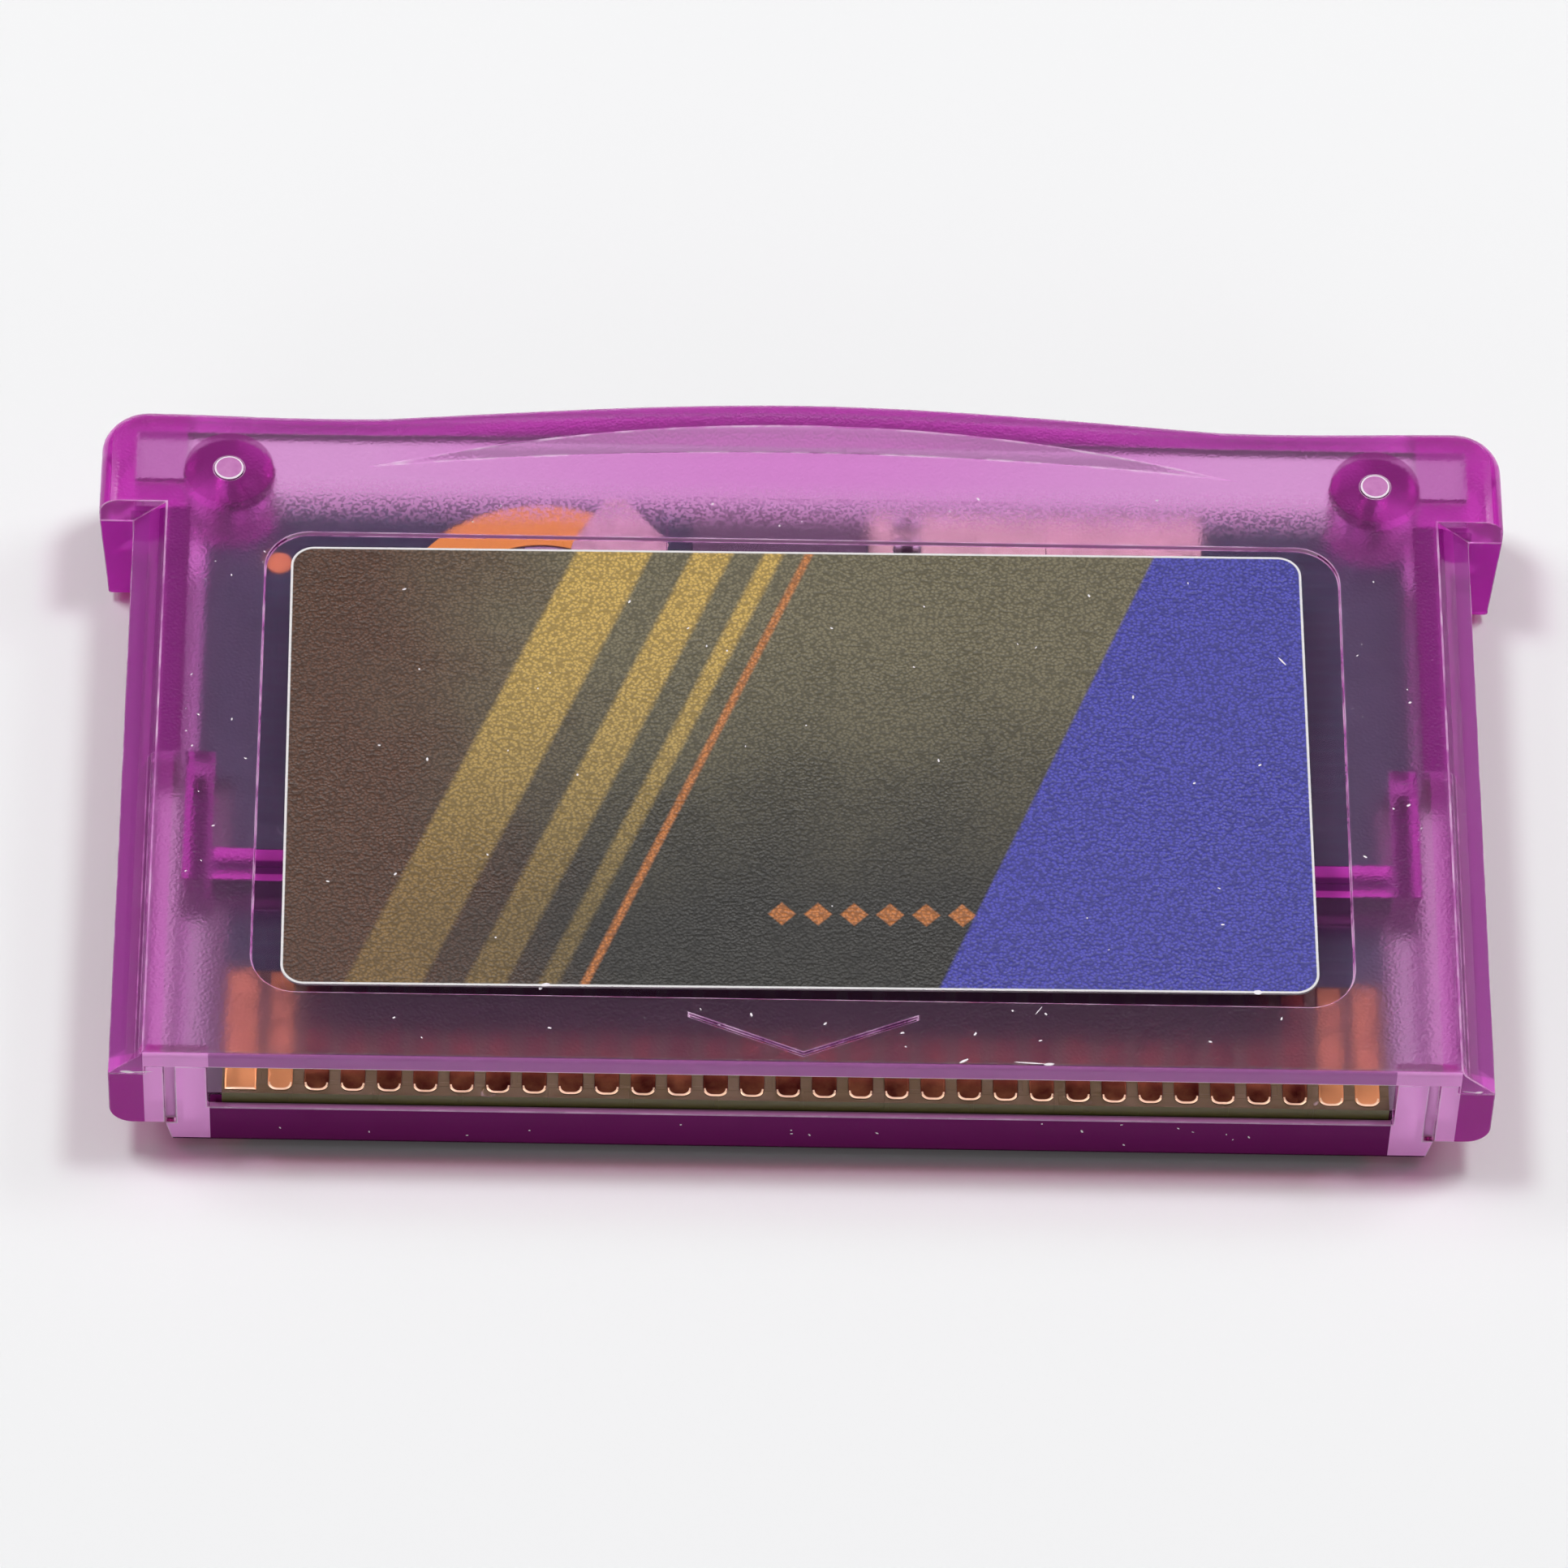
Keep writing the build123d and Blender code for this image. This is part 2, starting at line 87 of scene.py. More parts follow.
class Graph:
    """Writes the nodes of one shader tree."""

    def __init__(self, tree: Tree) -> None:
        """Starts on a node tree."""
        self.tree = tree

    def node(self, kind: str, inputs: Optional[dict] = None, **settings) -> Node:
        """Adds a node.

        Args:
            kind: The node's type name, without the ShaderNode prefix.
            inputs: Values or sockets for its inputs, by name or number.
            settings: The node's own properties.

        Returns:
            The new node.
        """
        made = self.tree.nodes.new("ShaderNode" + kind)
        for name, value in settings.items():
            setattr(made, name, value)
        for key, value in (inputs or {}).items():
            self.feed(made.inputs[key], value)
        return made

    def feed(self, socket: Socket, value: Value) -> None:
        """Links a socket to an input, or sets the input to a plain value.

        Args:
            socket: The input.
            value: A socket, a number or a colour.
        """
        if isinstance(value, Socket):
            self.tree.links.new(value, socket)
        elif socket.type == "RGBA":
            socket.default_value = (*value, 1.0)
        else:
            socket.default_value = value

    def math(self, operation: str, *values: Value, clamp: bool = False) -> Socket:
        """Adds a Math node.

        Args:
            operation: The operation's name.
            values: Its inputs in order.
            clamp: Whether the result is kept from 0 to 1.

        Returns:
            The result.
        """
        node = self.node("Math", operation=operation, use_clamp=clamp)
        for socket, value in zip(node.inputs, values):
            self.feed(socket, value)
        return node.outputs[0]

    def mix(self, share: Value, first: Value, second: Value, blend: str = "MIX") -> Socket:
        """Mixes two colours.

        Args:
            share: How much of the second colour shows, from 0 to 1.
            first: The first colour.
            second: The second colour.
            blend: How they are mixed.

        Returns:
            The mixed colour.
        """
        node = self.node("Mix", data_type="RGBA", blend_type=blend)
        self.feed(node.inputs["Factor"], share)
        self.feed(node.inputs[6], first)
        self.feed(node.inputs[7], second)
        return node.outputs[2]

    def between(
        self, value: Value, low: float, high: float, to_low: Value = 0.0, to_high: Value = 1.0
    ) -> Socket:
        """Carries a value from one range to another, smoothly and within the second range.

        Args:
            value: The value.
            low: The start of its range.
            high: The end of its range.
            to_low: What the start becomes.
            to_high: What the end becomes.

        Returns:
            The carried value.
        """
        node = self.node("MapRange", interpolation_type="SMOOTHSTEP")
        for key, number in zip(range(5), (value, low, high, to_low, to_high)):
            self.feed(node.inputs[key], number)
        return node.outputs[0]

    def own(self) -> Socket:
        """The object's own coordinates."""
        return self.node("TexCoord").outputs["Object"]

    def place(self, centre: Place, turn: float) -> Socket:
        """The object's own coordinates about a centre, turned about Z by an angle in radians."""
        moved = self.node("VectorMath", {0: self.own(), 1: centre}, operation="SUBTRACT").outputs[0]
        return self.node("Mapping", {"Vector": moved, "Rotation": (0.0, 0.0, -turn)}).outputs[0]

    def axes(self, vector: Socket) -> tuple[Socket, Socket, Socket]:
        """The three parts of a vector."""
        return tuple(self.node("SeparateXYZ", {0: vector}).outputs)

    def noise(self, size: float, detail: float = 2.0) -> Socket:
        """A soft random value about 0.5, with features of a size and a number of finer layers."""
        return self.node("TexNoise", {"Vector": self.own(), "Scale": 1 / size, "Detail": detail}).outputs[0]

    def group(self, kind: "Effect", **inputs: Value) -> Node:
        """Places one of the shared effects, with its inputs by name."""
        return self.node("Group", inputs, node_tree=effect_tree(kind))

    def bump(self, height: Value, depth: float) -> Socket:
        """A surface normal from a height of 0 to 1 and the real depth of the full height."""
        return self.node("Bump", {"Height": height, "Distance": depth}).outputs[0]

    def patches(self, size: float, contrast: float) -> Socket:
        """Soft uneven patches of a size, from 0 to 1."""
        return self.group(Effect.MOTTLE, Size=size, Contrast=contrast).outputs["Mask"]

    def brushed(self, width: float, length: float) -> Socket:
        """The height of fine lines along X, from 0 to 1."""
        return self.group(Effect.BRUSHING, Width=width, Length=length).outputs["Height"]

    def eased(self) -> Socket:
        """A mask of the faces that are marked as eased edges."""
        return self.node("Attribute", attribute_name=EDGE_MARK).outputs["Fac"]

    def reach(self, x: Value, y: Value) -> Socket:
        """The length of a line that runs x one way and y the other."""
        squares = self.math("ADD", self.math("POWER", x, 2.0), self.math("POWER", y, 2.0))
        return self.math("SQRT", squares)


class MaterialGraph(Graph):
    """Writes the nodes of a material around one Principled shader."""

    def __init__(self, tree: Tree) -> None:
        """Clears a material's tree and places the shader and the output.

        Args:
            tree: The material's node tree.
        """
        super().__init__(tree)
        tree.nodes.clear()
        self.shader = self.node("BsdfPrincipled")
        self.end = self.node("OutputMaterial")
        self.feed(self.end.inputs["Surface"], self.shader.outputs[0])

    def skin(self, colour: Value, patches: Socket, rough: Span, height: Value, depth: float) -> None:
        """Feeds the shader of an opaque finish.

        Args:
            colour: The colour.
            patches: Where the finish is duller, from 0 to 1.
            rough: The roughness outside the patches and in them.
            height: The relief, from 0 to 1.
            depth: The real depth of the full relief.
        """
        self.feed(self.shader.inputs["Base Color"], colour)
        self.feed(self.shader.inputs["Roughness"], self.between(patches, 0.0, 1.0, *rough))
        self.feed(self.shader.inputs["Normal"], self.bump(height, depth))


# Effects that several finishes share


class Effect(Enum):
    """The shared shader effects."""

    MOULD_GRAIN = "mould_grain"
    MOTTLE = "mottle"
    BRUSHING = "brushing"


def new_effect(
    kind: Effect, inputs: tuple[str, ...], outputs: tuple[str, ...]
) -> tuple[Graph, dict[str, Socket], Node]:
    """Starts a shared effect.

    Args:
        kind: The effect.
        inputs: The names of its number inputs.
        outputs: The names of its number outputs.

    Returns:
        The graph to write in, the inputs' sockets, and the output node.
    """
    tree = bpy.data.node_groups.new(kind.value, "ShaderNodeTree")
    for way, names in (("INPUT", inputs), ("OUTPUT", outputs)):
        for name in names:
            tree.interface.new_socket(name, in_out=way, socket_type="NodeSocketFloat")
    start = tree.nodes.new("NodeGroupInput")
    end = tree.nodes.new("NodeGroupOutput")
    return Graph(tree), {name: start.outputs[name] for name in inputs}, end


def mould_grain() -> Tree:
    """The pebbled grain that a spark-eroded mould or an embossing roller leaves.

    Returns:
        A group with the grain's Height and, for each pebble, a Tone of its own.
    """
    graph, inputs, end = new_effect(Effect.MOULD_GRAIN, ("Size", "Wander"), ("Height", "Tone"))
    own = graph.own()
    scale = graph.math("DIVIDE", 1.0, inputs["Size"])
    drift = graph.node("TexNoise", {"Vector": own, "Scale": scale, "Detail": 1.0}).outputs[1]
    shift = graph.math("MULTIPLY", inputs["Size"], inputs["Wander"])
    moved = graph.node("VectorMath", {0: drift, "Scale": shift}, operation="SCALE").outputs[0]
    wandered = graph.node("VectorMath", {0: own, 1: moved}, operation="ADD").outputs[0]
    cells = graph.node("TexVoronoi", {"Vector": wandered, "Scale": scale}, feature="F1")
    height = graph.math("SUBTRACT", 1.0, cells.outputs["Distance"])
    graph.feed(end.inputs["Height"], height)
    graph.feed(end.inputs["Tone"], graph.node("SeparateColor", {0: cells.outputs["Color"]}).outputs[0])
    return graph.tree


def mottle() -> Tree:
    """Soft uneven patches, for the handling marks and dullness that no surface is without.

    Returns:
        A group with one Mask, from 0 to 1.
    """
    graph, inputs, end = new_effect(Effect.MOTTLE, ("Size", "Contrast"), ("Mask",))
    scale = graph.math("DIVIDE", 1.0, inputs["Size"])
    cloud = {"Vector": graph.own(), "Scale": scale, "Detail": 4.0, "Roughness": 0.6}
    away = graph.math("SUBTRACT", graph.node("TexNoise", cloud).outputs[0], 0.5)
    gain = graph.math("MULTIPLY", inputs["Contrast"], 4.0)
    graph.feed(end.inputs["Mask"], graph.math("MULTIPLY_ADD", away, gain, 0.5, clamp=True))
    return graph.tree


def brushing() -> Tree:
    """Fine lines along X, as on rolled or drawn metal.

    Returns:
        A group with one Height, from 0 to 1.
    """
    graph, inputs, end = new_effect(Effect.BRUSHING, ("Width", "Length"), ("Height",))
    along = graph.math("DIVIDE", 1.0, inputs["Length"])
    across = graph.math("DIVIDE", 1.0, inputs["Width"])
    stretch = graph.node("CombineXYZ", {0: along, 1: across, 2: across}).outputs[0]
    lines = graph.node("VectorMath", {0: graph.own(), 1: stretch}, operation="MULTIPLY").outputs[0]
    drawn = graph.node("TexNoise", {"Vector": lines, "Scale": 1.0, "Detail": 3.0})
    graph.feed(end.inputs["Height"], drawn.outputs[0])
    return graph.tree


EFFECT_MAKERS: dict[Effect, Callable[[], Tree]] = {
    Effect.MOULD_GRAIN: mould_grain,
    Effect.MOTTLE: mottle,
    Effect.BRUSHING: brushing,
}


def effect_tree(kind: Effect) -> Tree:
    """The node tree of a shared effect, made the first time it is asked for."""
    return bpy.data.node_groups.get(kind.value) or EFFECT_MAKERS[kind]()


# Finishes


@dataclass(frozen=True)
class Finish:
    """A material made of one Principled shader."""

    name: str

    def write(self, graph: MaterialGraph) -> None:
        """Writes the finish's own nodes in its material's graph."""
        raise NotImplementedError

    def material(self) -> bpy.types.Material:
        """The finish's material, made the first time it is asked for.

        Returns:
            The material.
        """
        found = bpy.data.materials.get(self.name)
        if found:
            return found
        made = bpy.data.materials.new(self.name)
        made.use_nodes = True
        self.write(MaterialGraph(made.node_tree))
        return made

    def dress(self, piece: Piece) -> Piece:
        """Puts the finish on a piece.

        Args:
            piece: The piece.

        Returns:
            The same piece.
        """
        piece.data.materials.clear()
        piece.data.materials.append(self.material())
        return piece


# The part along Y of the normal of a face that looks out of the mouth
FRONTWARD: Span = (-0.6, -0.3)


@dataclass(frozen=True)
class Zone:
    """A part of the case with a tone painted on it, alike on both sides, within limits in millimetres: a
    colour of the plastic, painted light or painted shade.
    """

    colour: Colour
    share: float
    side: Span
    along: Span
    height: Span
    facing_front: bool = True

    def mask(self, graph: Graph, place: tuple, towards: Socket) -> Socket:
        """Where the zone lies.

        Args:
            graph: The material's graph.
            place: The place along X, Y and Z.
            towards: The normal's part along Y.

        Returns:
            A mask of the zone.
        """
        inside = graph.between(towards, *FRONTWARD, 1.0, 0.0) if self.facing_front else 1.0
        values = (graph.math("ABSOLUTE", place[0]), place[1], place[2])
        for value, (low, high) in zip(values, (self.side, self.along, self.height)):
            within = graph.math("COMPARE", value, (low + high) / 2 * MM, (high - low) / 2 * MM)
            inside = graph.math("MULTIPLY", within, inside)
        return inside


CASE_ZONES = (
    # Outer rails, a painted highlight on the far wall of the label recess, painted light on the slope of
    # the crescent
    Zone((0.3, 0.03, 0.27), 0.5, (27.0, 28.7), (-16.5, 11.9), (-1.0, 5.6), False),
    Zone((0.95, 0.62, 0.9), 0.7, (-1.0, 22.9), (9.7, 10.3), (6.1, 6.3)),
    Zone((0.9, 0.45, 0.85), 0.5, (-1.0, 18.0), (13.0, 17.0), (6.31, 7.0)),
    # Painted shade on the front wall of the mouth, a painted highlight on its ledge, the posts and the
    # corner blocks beside it
    Zone((0.15, 0.013, 0.11), 0.95, (-1.0, 24.45), (-18.0, -16.5), (-1.0, 2.5), False),
    Zone((0.85, 0.5, 0.85), 0.6, (-1.0, 24.45), (-18.0, -16.5), (2.5, 2.6), False),
    Zone((1.0, 0.43, 0.92), 0.8, (24.45, 27.15), (-18.0, -16.5), (-1.0, 7.0)),
    Zone((0.5, 0.035, 0.4), 0.7, (27.15, 31.0), (-18.0, -16.5), (-1.0, 4.85)),
    # Lip over the mouth, a painted highlight along its lower line, and painted shade at the foot of the
    # front
    Zone((0.64, 0.22, 0.6), 0.6, (-1.0, 24.45), (-18.0, -16.9), (5.3, 6.28)),
    Zone((0.95, 0.75, 0.92), 0.8, (-1.0, 24.45), (-18.0, -16.9), (5.34, 5.47)),
    Zone((0.06, 0.004, 0.04), 0.9, (-1.0, 31.0), (-18.0, -16.5), (-1.0, 0.35), False),
    # Painted shade in the cores of the bar's arms, a painted highlight and painted shade on the bar's
    # underside, painted shade on its near wall
    Zone((0.13, 0.02, 0.16), 0.85, (24.98, 25.62), (-7.6, -2.1), (2.4, 2.5), False),
    Zone((1.0, 1.0, 1.0), 0.95, (-1.0, 25.9), (-7.4, -6.65), (3.15, 3.3), False),
    Zone((0.26, 0.26, 0.33), 0.8, (-1.0, 25.9), (-6.65, -6.25), (3.15, 3.3), False),
    Zone((0.1, 0.07, 0.13), 0.85, (-1.0, 24.6), (-7.95, -7.85), (3.3, 5.38), False),
    # Plastic beside the board, fronts of the ears
    Zone((0.22, 0.016, 0.2), 0.8, (26.1, 27.05), (-1.38, 11.9), (4.8, 5.0), False),
    Zone((1.0, 0.05, 0.88), 0.75, (28.4, 30.2), (11.1, 12.2), (-1.0, 4.95)),
)


@dataclass(frozen=True)
class ClearPlastic(Finish):
    """Purple plastic that light goes through, with a grained label face and outer edges whitened by wear
    and by a painted highlight.
    """

    absorbed: Colour = (48.0, 430.0, 75.0)
    refraction: float = 1.5
    wall_roughness: float = 0.12
    face_roughness: float = 0.32
    face_low: float = 6.22 * MM
    grain_size: float = 0.12 * MM
    grain_depth: float = 0.016 * MM
    # Painted glow with painted glints in the face above the board's far edge
    painted_glow: Colour = (0.62, 0.27, 0.57)
    painted_glow_share: float = 0.55
    painted_glow_side: Span = (21.5 * MM, 23.5 * MM)
    painted_glow_along: tuple[float, float, float, float] = (10.2 * MM, 11.9 * MM, 12.2 * MM, 13.2 * MM)
    haze: Colour = (0.75, 0.07, 0.66)
    flat_haze: float = 0.01
    wall_haze: float = 0.04
    flank_haze: float = 0.25
    flank: float = 26.4 * MM
    flank_top: float = 5.6 * MM
    face_haze: float = 0.01
    # Painted shade over the bosses
    painted_boss_shade: Colour = (0.26, 0.018, 0.2)
    boss_across: float = 24.55 * MM
    boss_along: float = 13.4 * MM
    boss_radius: float = 1.96 * MM
    boss_low_share: float = 0.3
    boss_high_share: float = 0.65
    # Edges paled partly by wear and partly by a painted highlight
    whitened: Colour = (0.9, 0.74, 0.88)
    edge_share: float = 0.75
    zones: tuple[Zone, ...] = CASE_ZONES
    face_shadow: Colour = (0.985, 0.96, 0.98)
    wall_shadow: Colour = (0.7, 0.4, 0.6)
    end_shadow: Colour = (0.42, 0.07, 0.18)
    end_span: Span = (-16.75 * MM, -16.3 * MM)
    end_side: Span = (24.0 * MM, 24.4 * MM)
    face_step: float = 0.02 * MM
    face_up: Span = (0.6, 0.9)
    wall_up: Span = (0.3, 0.7)
    flank_fade: float = 0.3 * MM
    speckle: Span = (0.4, 0.62)
    speckle_light: Span = (0.4, 1.5)
    edge_patch: Span = (1.5 * MM, 0.8)
    edge_least: float = 0.35
    boss_rim: float = 0.12 * MM
    boss_fade: float = 0.3

    def write(self, graph: MaterialGraph) -> None:
        """Writes clear plastic with a milky skin, grained on the label face.

        Args:
            graph: The material's graph.
        """
        place = graph.axes(graph.own())
        _, towards, upward = graph.axes(graph.node("NewGeometry").outputs["Normal"])
        raised = graph.between(place[2], self.face_low - self.face_step, self.face_low)
        face = graph.math("MULTIPLY", raised, graph.between(upward, *self.face_up))
        rougher = self.face_roughness - self.wall_roughness
        rough = graph.math("MULTIPLY_ADD", face, rougher, self.wall_roughness)
        grain = graph.noise(self.grain_size, 0.0)
        normal = graph.bump(graph.math("MULTIPLY", grain, face), self.grain_depth)
        graph.shader.inputs["Base Color"].default_value = (1.0, 1.0, 1.0, 1.0)
        graph.shader.inputs["Transmission Weight"].default_value = 1.0
        graph.shader.inputs["IOR"].default_value = self.refraction
        graph.feed(graph.shader.inputs["Roughness"], rough)
        graph.feed(graph.shader.inputs["Normal"], normal)
        upright = graph.between(graph.math("ABSOLUTE", upward), *self.wall_up, 1.0, 0.0)
        colour, share = self.milk(graph, face, upright, place, towards)
        milk = graph.node("BsdfDiffuse", {"Color": colour, "Normal": normal})
        body = graph.node("MixShader", {0: share, 1: graph.shader.outputs[0], 2: milk.outputs[0]})
        lamp_way = graph.node("LightPath").outputs["Is Shadow Ray"]
        tint = graph.mix(upright, self.face_shadow, self.wall_shadow)
        near = graph.between(place[1], *self.end_span, 1.0, 0.0)
        inner = graph.between(graph.math("ABSOLUTE", place[0]), *self.end_side, 1.0, 0.0)
        tint = graph.mix(graph.math("MULTIPLY", near, inner), tint, self.end_shadow)
        clear = graph.node("BsdfTransparent", {"Color": tint})
        whole = graph.node("MixShader", {0: lamp_way, 1: body.outputs[0], 2: clear.outputs[0]})
        graph.feed(graph.end.inputs["Surface"], whole.outputs[0])
        most = max(self.absorbed)
        volume = graph.node("VolumeAbsorption")
        volume.inputs["Color"].default_value = (*[1 - amount / most for amount in self.absorbed], 1.0)
        volume.inputs["Density"].default_value = most
        graph.feed(graph.end.inputs["Volume"], volume.outputs[0])

    def milk(
        self, graph: Graph, face: Socket, upright: Socket, place: tuple, towards: Socket
    ) -> tuple[Socket, Socket]:
        """The milk in the plastic: more in the flanks, painted shade over the bosses, a painted glow above
        the board, the zones' colours, painted light and painted shade, and edges paled by wear and a
        painted highlight.

        Args:
            graph: The material's graph.
            face: A mask of the label face.
            upright: A mask of the upright walls.
            place: The place along X, Y and Z.
            towards: The normal's part along Y.

        Returns:
            The milky colour, and how much of it shows.
        """
        sideways = graph.math("ABSOLUTE", place[0])
        limits = (self.flank - self.flank_fade, self.flank)
        flank = graph.between(sideways, *limits, self.wall_haze, self.flank_haze)
        low = graph.math("LESS_THAN", place[2], self.flank_top)
        ledge = graph.math("MULTIPLY", graph.math("GREATER_THAN", sideways, self.flank), low)
        upright = graph.math("MAXIMUM", upright, ledge)
        more = graph.math("SUBTRACT", flank, self.flat_haze)
        share = graph.math("MULTIPLY_ADD", upright, more, self.flat_haze)
        share = graph.math("MULTIPLY_ADD", face, self.face_haze, share)
        # Painted glow above the board's far edge
        painted_glow = graph.math("MULTIPLY", face, self.painted_glow_mask(graph, sideways, place[1]))
        share = graph.math("MAXIMUM", share, painted_glow)
        # Painted shade over the bosses
        boss_shade_share = graph.math("MULTIPLY", face, self.painted_boss_shade_mask(graph, sideways, place[1]))
        colour = graph.mix(graph.math("GREATER_THAN", painted_glow, self.flat_haze), self.haze, self.painted_glow)
        colour = graph.mix(graph.math("GREATER_THAN", boss_shade_share, 0.0), colour, self.painted_boss_shade)
        share = graph.math("MAXIMUM", share, boss_shade_share)
        for zone in self.zones:
            inside = zone.mask(graph, place, towards)
            colour = graph.mix(inside, colour, zone.colour)
            share = graph.math("MULTIPLY_ADD", inside, graph.math("SUBTRACT", zone.share, share), share)
        # Marked edges: wear patches and a painted highlight in one pale colour
        worn = graph.patches(*self.edge_patch)
        worn_and_highlit = graph.between(worn, 0.0, 1.0, self.edge_least * self.edge_share, self.edge_share)
        edge = graph.math("MULTIPLY", graph.eased(), worn_and_highlit)
        return graph.mix(edge, colour, self.whitened), graph.math("MAXIMUM", share, edge)

    def painted_glow_mask(self, graph: Graph, sideways: Socket, along: Socket) -> Socket:
        """A painted glow with painted glints, speckled, in the frosted face above the board's far edge.

        Args:
            graph: The material's graph.
            sideways: The distance from the middle along X.
            along: The place along Y.

        Returns:
            How much of the painted glow shows there.
        """
        start, full, ebb, stop = self.painted_glow_along
        rising = graph.between(along, start, full, 0.0, self.painted_glow_share)
        ebbing = graph.between(along, ebb, stop, 1.0, 0.0)
        falling = graph.math("MULTIPLY", ebbing, graph.between(sideways, *self.painted_glow_side, 1.0, 0.0))
        grain = graph.noise(self.grain_size, 0.0)
        speckled = graph.between(grain, *self.speckle, *self.speckle_light)
        return graph.math("MULTIPLY", graph.math("MULTIPLY", rising, falling), speckled)

    def painted_boss_shade_mask(self, graph: Graph, sideways: Socket, along: Socket) -> Socket:
        """The round places over the bosses, given painted shade that grows darker along Y.

        Args:
            graph: The material's graph.
            sideways: The distance from the middle along X.
            along: The place along Y.

        Returns:
            How much of the painted shade shows there.
        """
        across = graph.math("SUBTRACT", sideways, self.boss_across)
        up = graph.math("SUBTRACT", along, self.boss_along)
        rim = (self.boss_radius - self.boss_rim, self.boss_radius)
        inside = graph.between(graph.reach(across, up), *rim, 1.0, 0.0)
        span = (-self.boss_radius, self.boss_fade * self.boss_radius)
        dark = graph.between(up, *span, self.boss_low_share, self.boss_high_share)
        return graph.math("MULTIPLY", inside, dark)


@dataclass(frozen=True)
class PrintedLabel(Finish):
    """A satin sticker with an embossed grain, printed with plain fields and bars."""

    centre: Place = (-0.19 * MM, -1.975 * MM, 0.0)
    turn: float = math.radians(0.4)
    half_width: float = 21.5 * MM
    half_length: float = 11.4 * MM
    corner: float = 1.0 * MM
    rim: float = 0.1 * MM
    paper: Colour = (0.82, 0.8, 0.8)
    blue: Colour = (0.066, 0.062, 0.4)
    olive: Colour = (0.17, 0.145, 0.085)
    charcoal: Colour = (0.035, 0.032, 0.028)
    brown: Colour = (0.1, 0.042, 0.024)
    gold: Colour = (0.55, 0.36, 0.09)
    amber: Colour = (0.6, 0.2, 0.05)
    fade_size: float = 5.0 * MM
    fade_reach: float = 8.0 * MM
    olive_span: Span = (-8.0 * MM, 8.0 * MM)
    brown_span: Span = (-20.0 * MM, -6.0 * MM)
    slope: float = -0.42
    bar_span: Span = (-10.0 * MM, 10.0 * MM)
    bar_faded: float = 0.25
    bars: tuple[Span, ...] = ((-12.5 * MM, 3.2 * MM), (-8.3 * MM, 1.7 * MM), (-5.7 * MM, 0.8 * MM))
    bar_soft: float = 0.35 * MM
    stripe: tuple[float, float, float] = (-4.2 * MM, 0.35 * MM, 0.2 * MM)
    ink_share: float = 0.8
    lozenge_pitch: float = 1.5 * MM
    lozenge_drop: float = 7.6 * MM
    lozenge_edge: Span = (0.5 * MM, 0.65 * MM)
    lozenge_start: Span = (-1.6 * MM, -1.4 * MM)
    panel: Span = (10.4 * MM, 10.6 * MM)
    rim_edge: Span = (1.2, 0.8)
    grain_size: float = 0.14 * MM
    grain_wander: float = 0.6
    grain_height: Span = (0.3, 0.8)
    grain_shade_and_highlight: Span = (0.62, 1.22)
    grain_depth: float = 0.03 * MM
    patch: Span = (5.0 * MM, 0.4)
    gloss: Span = (0.38, 0.55)

    def edge_distance(self, graph: Graph, x: Socket, y: Socket) -> Socket:
        """How far a point lies inside the label's rounded outline.

        Args:
            graph: The material's graph.
            x: The place along the label.
            y: The place across it.

        Returns:
            The distance, negative inside.
        """
        over_x = graph.math("SUBTRACT", graph.math("ABSOLUTE", x), self.half_width - self.corner)
        over_y = graph.math("SUBTRACT", graph.math("ABSOLUTE", y), self.half_length - self.corner)
        out_x = graph.math("MAXIMUM", over_x, 0.0)
        out_y = graph.math("MAXIMUM", over_y, 0.0)
        outside = graph.reach(out_x, out_y)
        inside = graph.math("MINIMUM", graph.math("MAXIMUM", over_x, over_y), 0.0)
        return graph.math("SUBTRACT", graph.math("ADD", outside, inside), self.corner)

    def band(self, graph: Graph, along: Socket, middle: float, width: float, soft: float) -> Socket:
        """A mask of a straight band, of a width about a middle and with a soft edge."""
        away = graph.math("ABSOLUTE", graph.math("SUBTRACT", along, middle))
        return graph.between(away, width / 2 - soft / 2, width / 2 + soft / 2, 1.0, 0.0)

    def artwork(self, graph: Graph, x: Socket, y: Socket) -> Socket:
        """The printed picture: dark fields, slanted gold bars, a row of lozenges and a blue panel.

        Args:
            graph: The material's graph.
            x: The place along the label.
            y: The place across it.

        Returns:
            The print's colour.
        """
        fade = graph.noise(self.fade_size, 3.0)
        wander = graph.math("MULTIPLY", graph.math("SUBTRACT", fade, 0.5), self.fade_reach)
        down = graph.between(graph.math("ADD", y, wander), *self.olive_span)
        across = graph.between(graph.math("ADD", x, wander), *self.brown_span, 1.0, 0.0)
        colour = graph.mix(down, self.charcoal, self.olive)
        colour = graph.mix(across, colour, self.brown)
        slant = graph.math("MULTIPLY_ADD", y, self.slope, x)
        shade = graph.between(y, *self.bar_span, self.bar_faded, 1.0)
        for middle, width in self.bars:
            bar = graph.math("MULTIPLY", self.band(graph, slant, middle, width, self.bar_soft), shade)
            colour = graph.mix(bar, colour, self.gold)
        line = self.band(graph, slant, *self.stripe)
        colour = graph.mix(graph.math("MULTIPLY", line, self.ink_share), colour, self.amber)
        cell = graph.math("SUBTRACT", graph.math("PINGPONG", x, self.lozenge_pitch), self.lozenge_pitch / 2)
        beside = graph.math("ABSOLUTE", graph.math("ADD", y, self.lozenge_drop))
        lozenge = graph.math("ADD", graph.math("ABSOLUTE", cell), beside)
        spots = graph.between(lozenge, *self.lozenge_edge, self.ink_share, 0.0)
        field_only = graph.between(x, *self.lozenge_start)
        colour = graph.mix(graph.math("MULTIPLY", spots, field_only), colour, self.amber)
        panel = graph.between(slant, *self.panel)
        return graph.mix(panel, colour, self.blue)

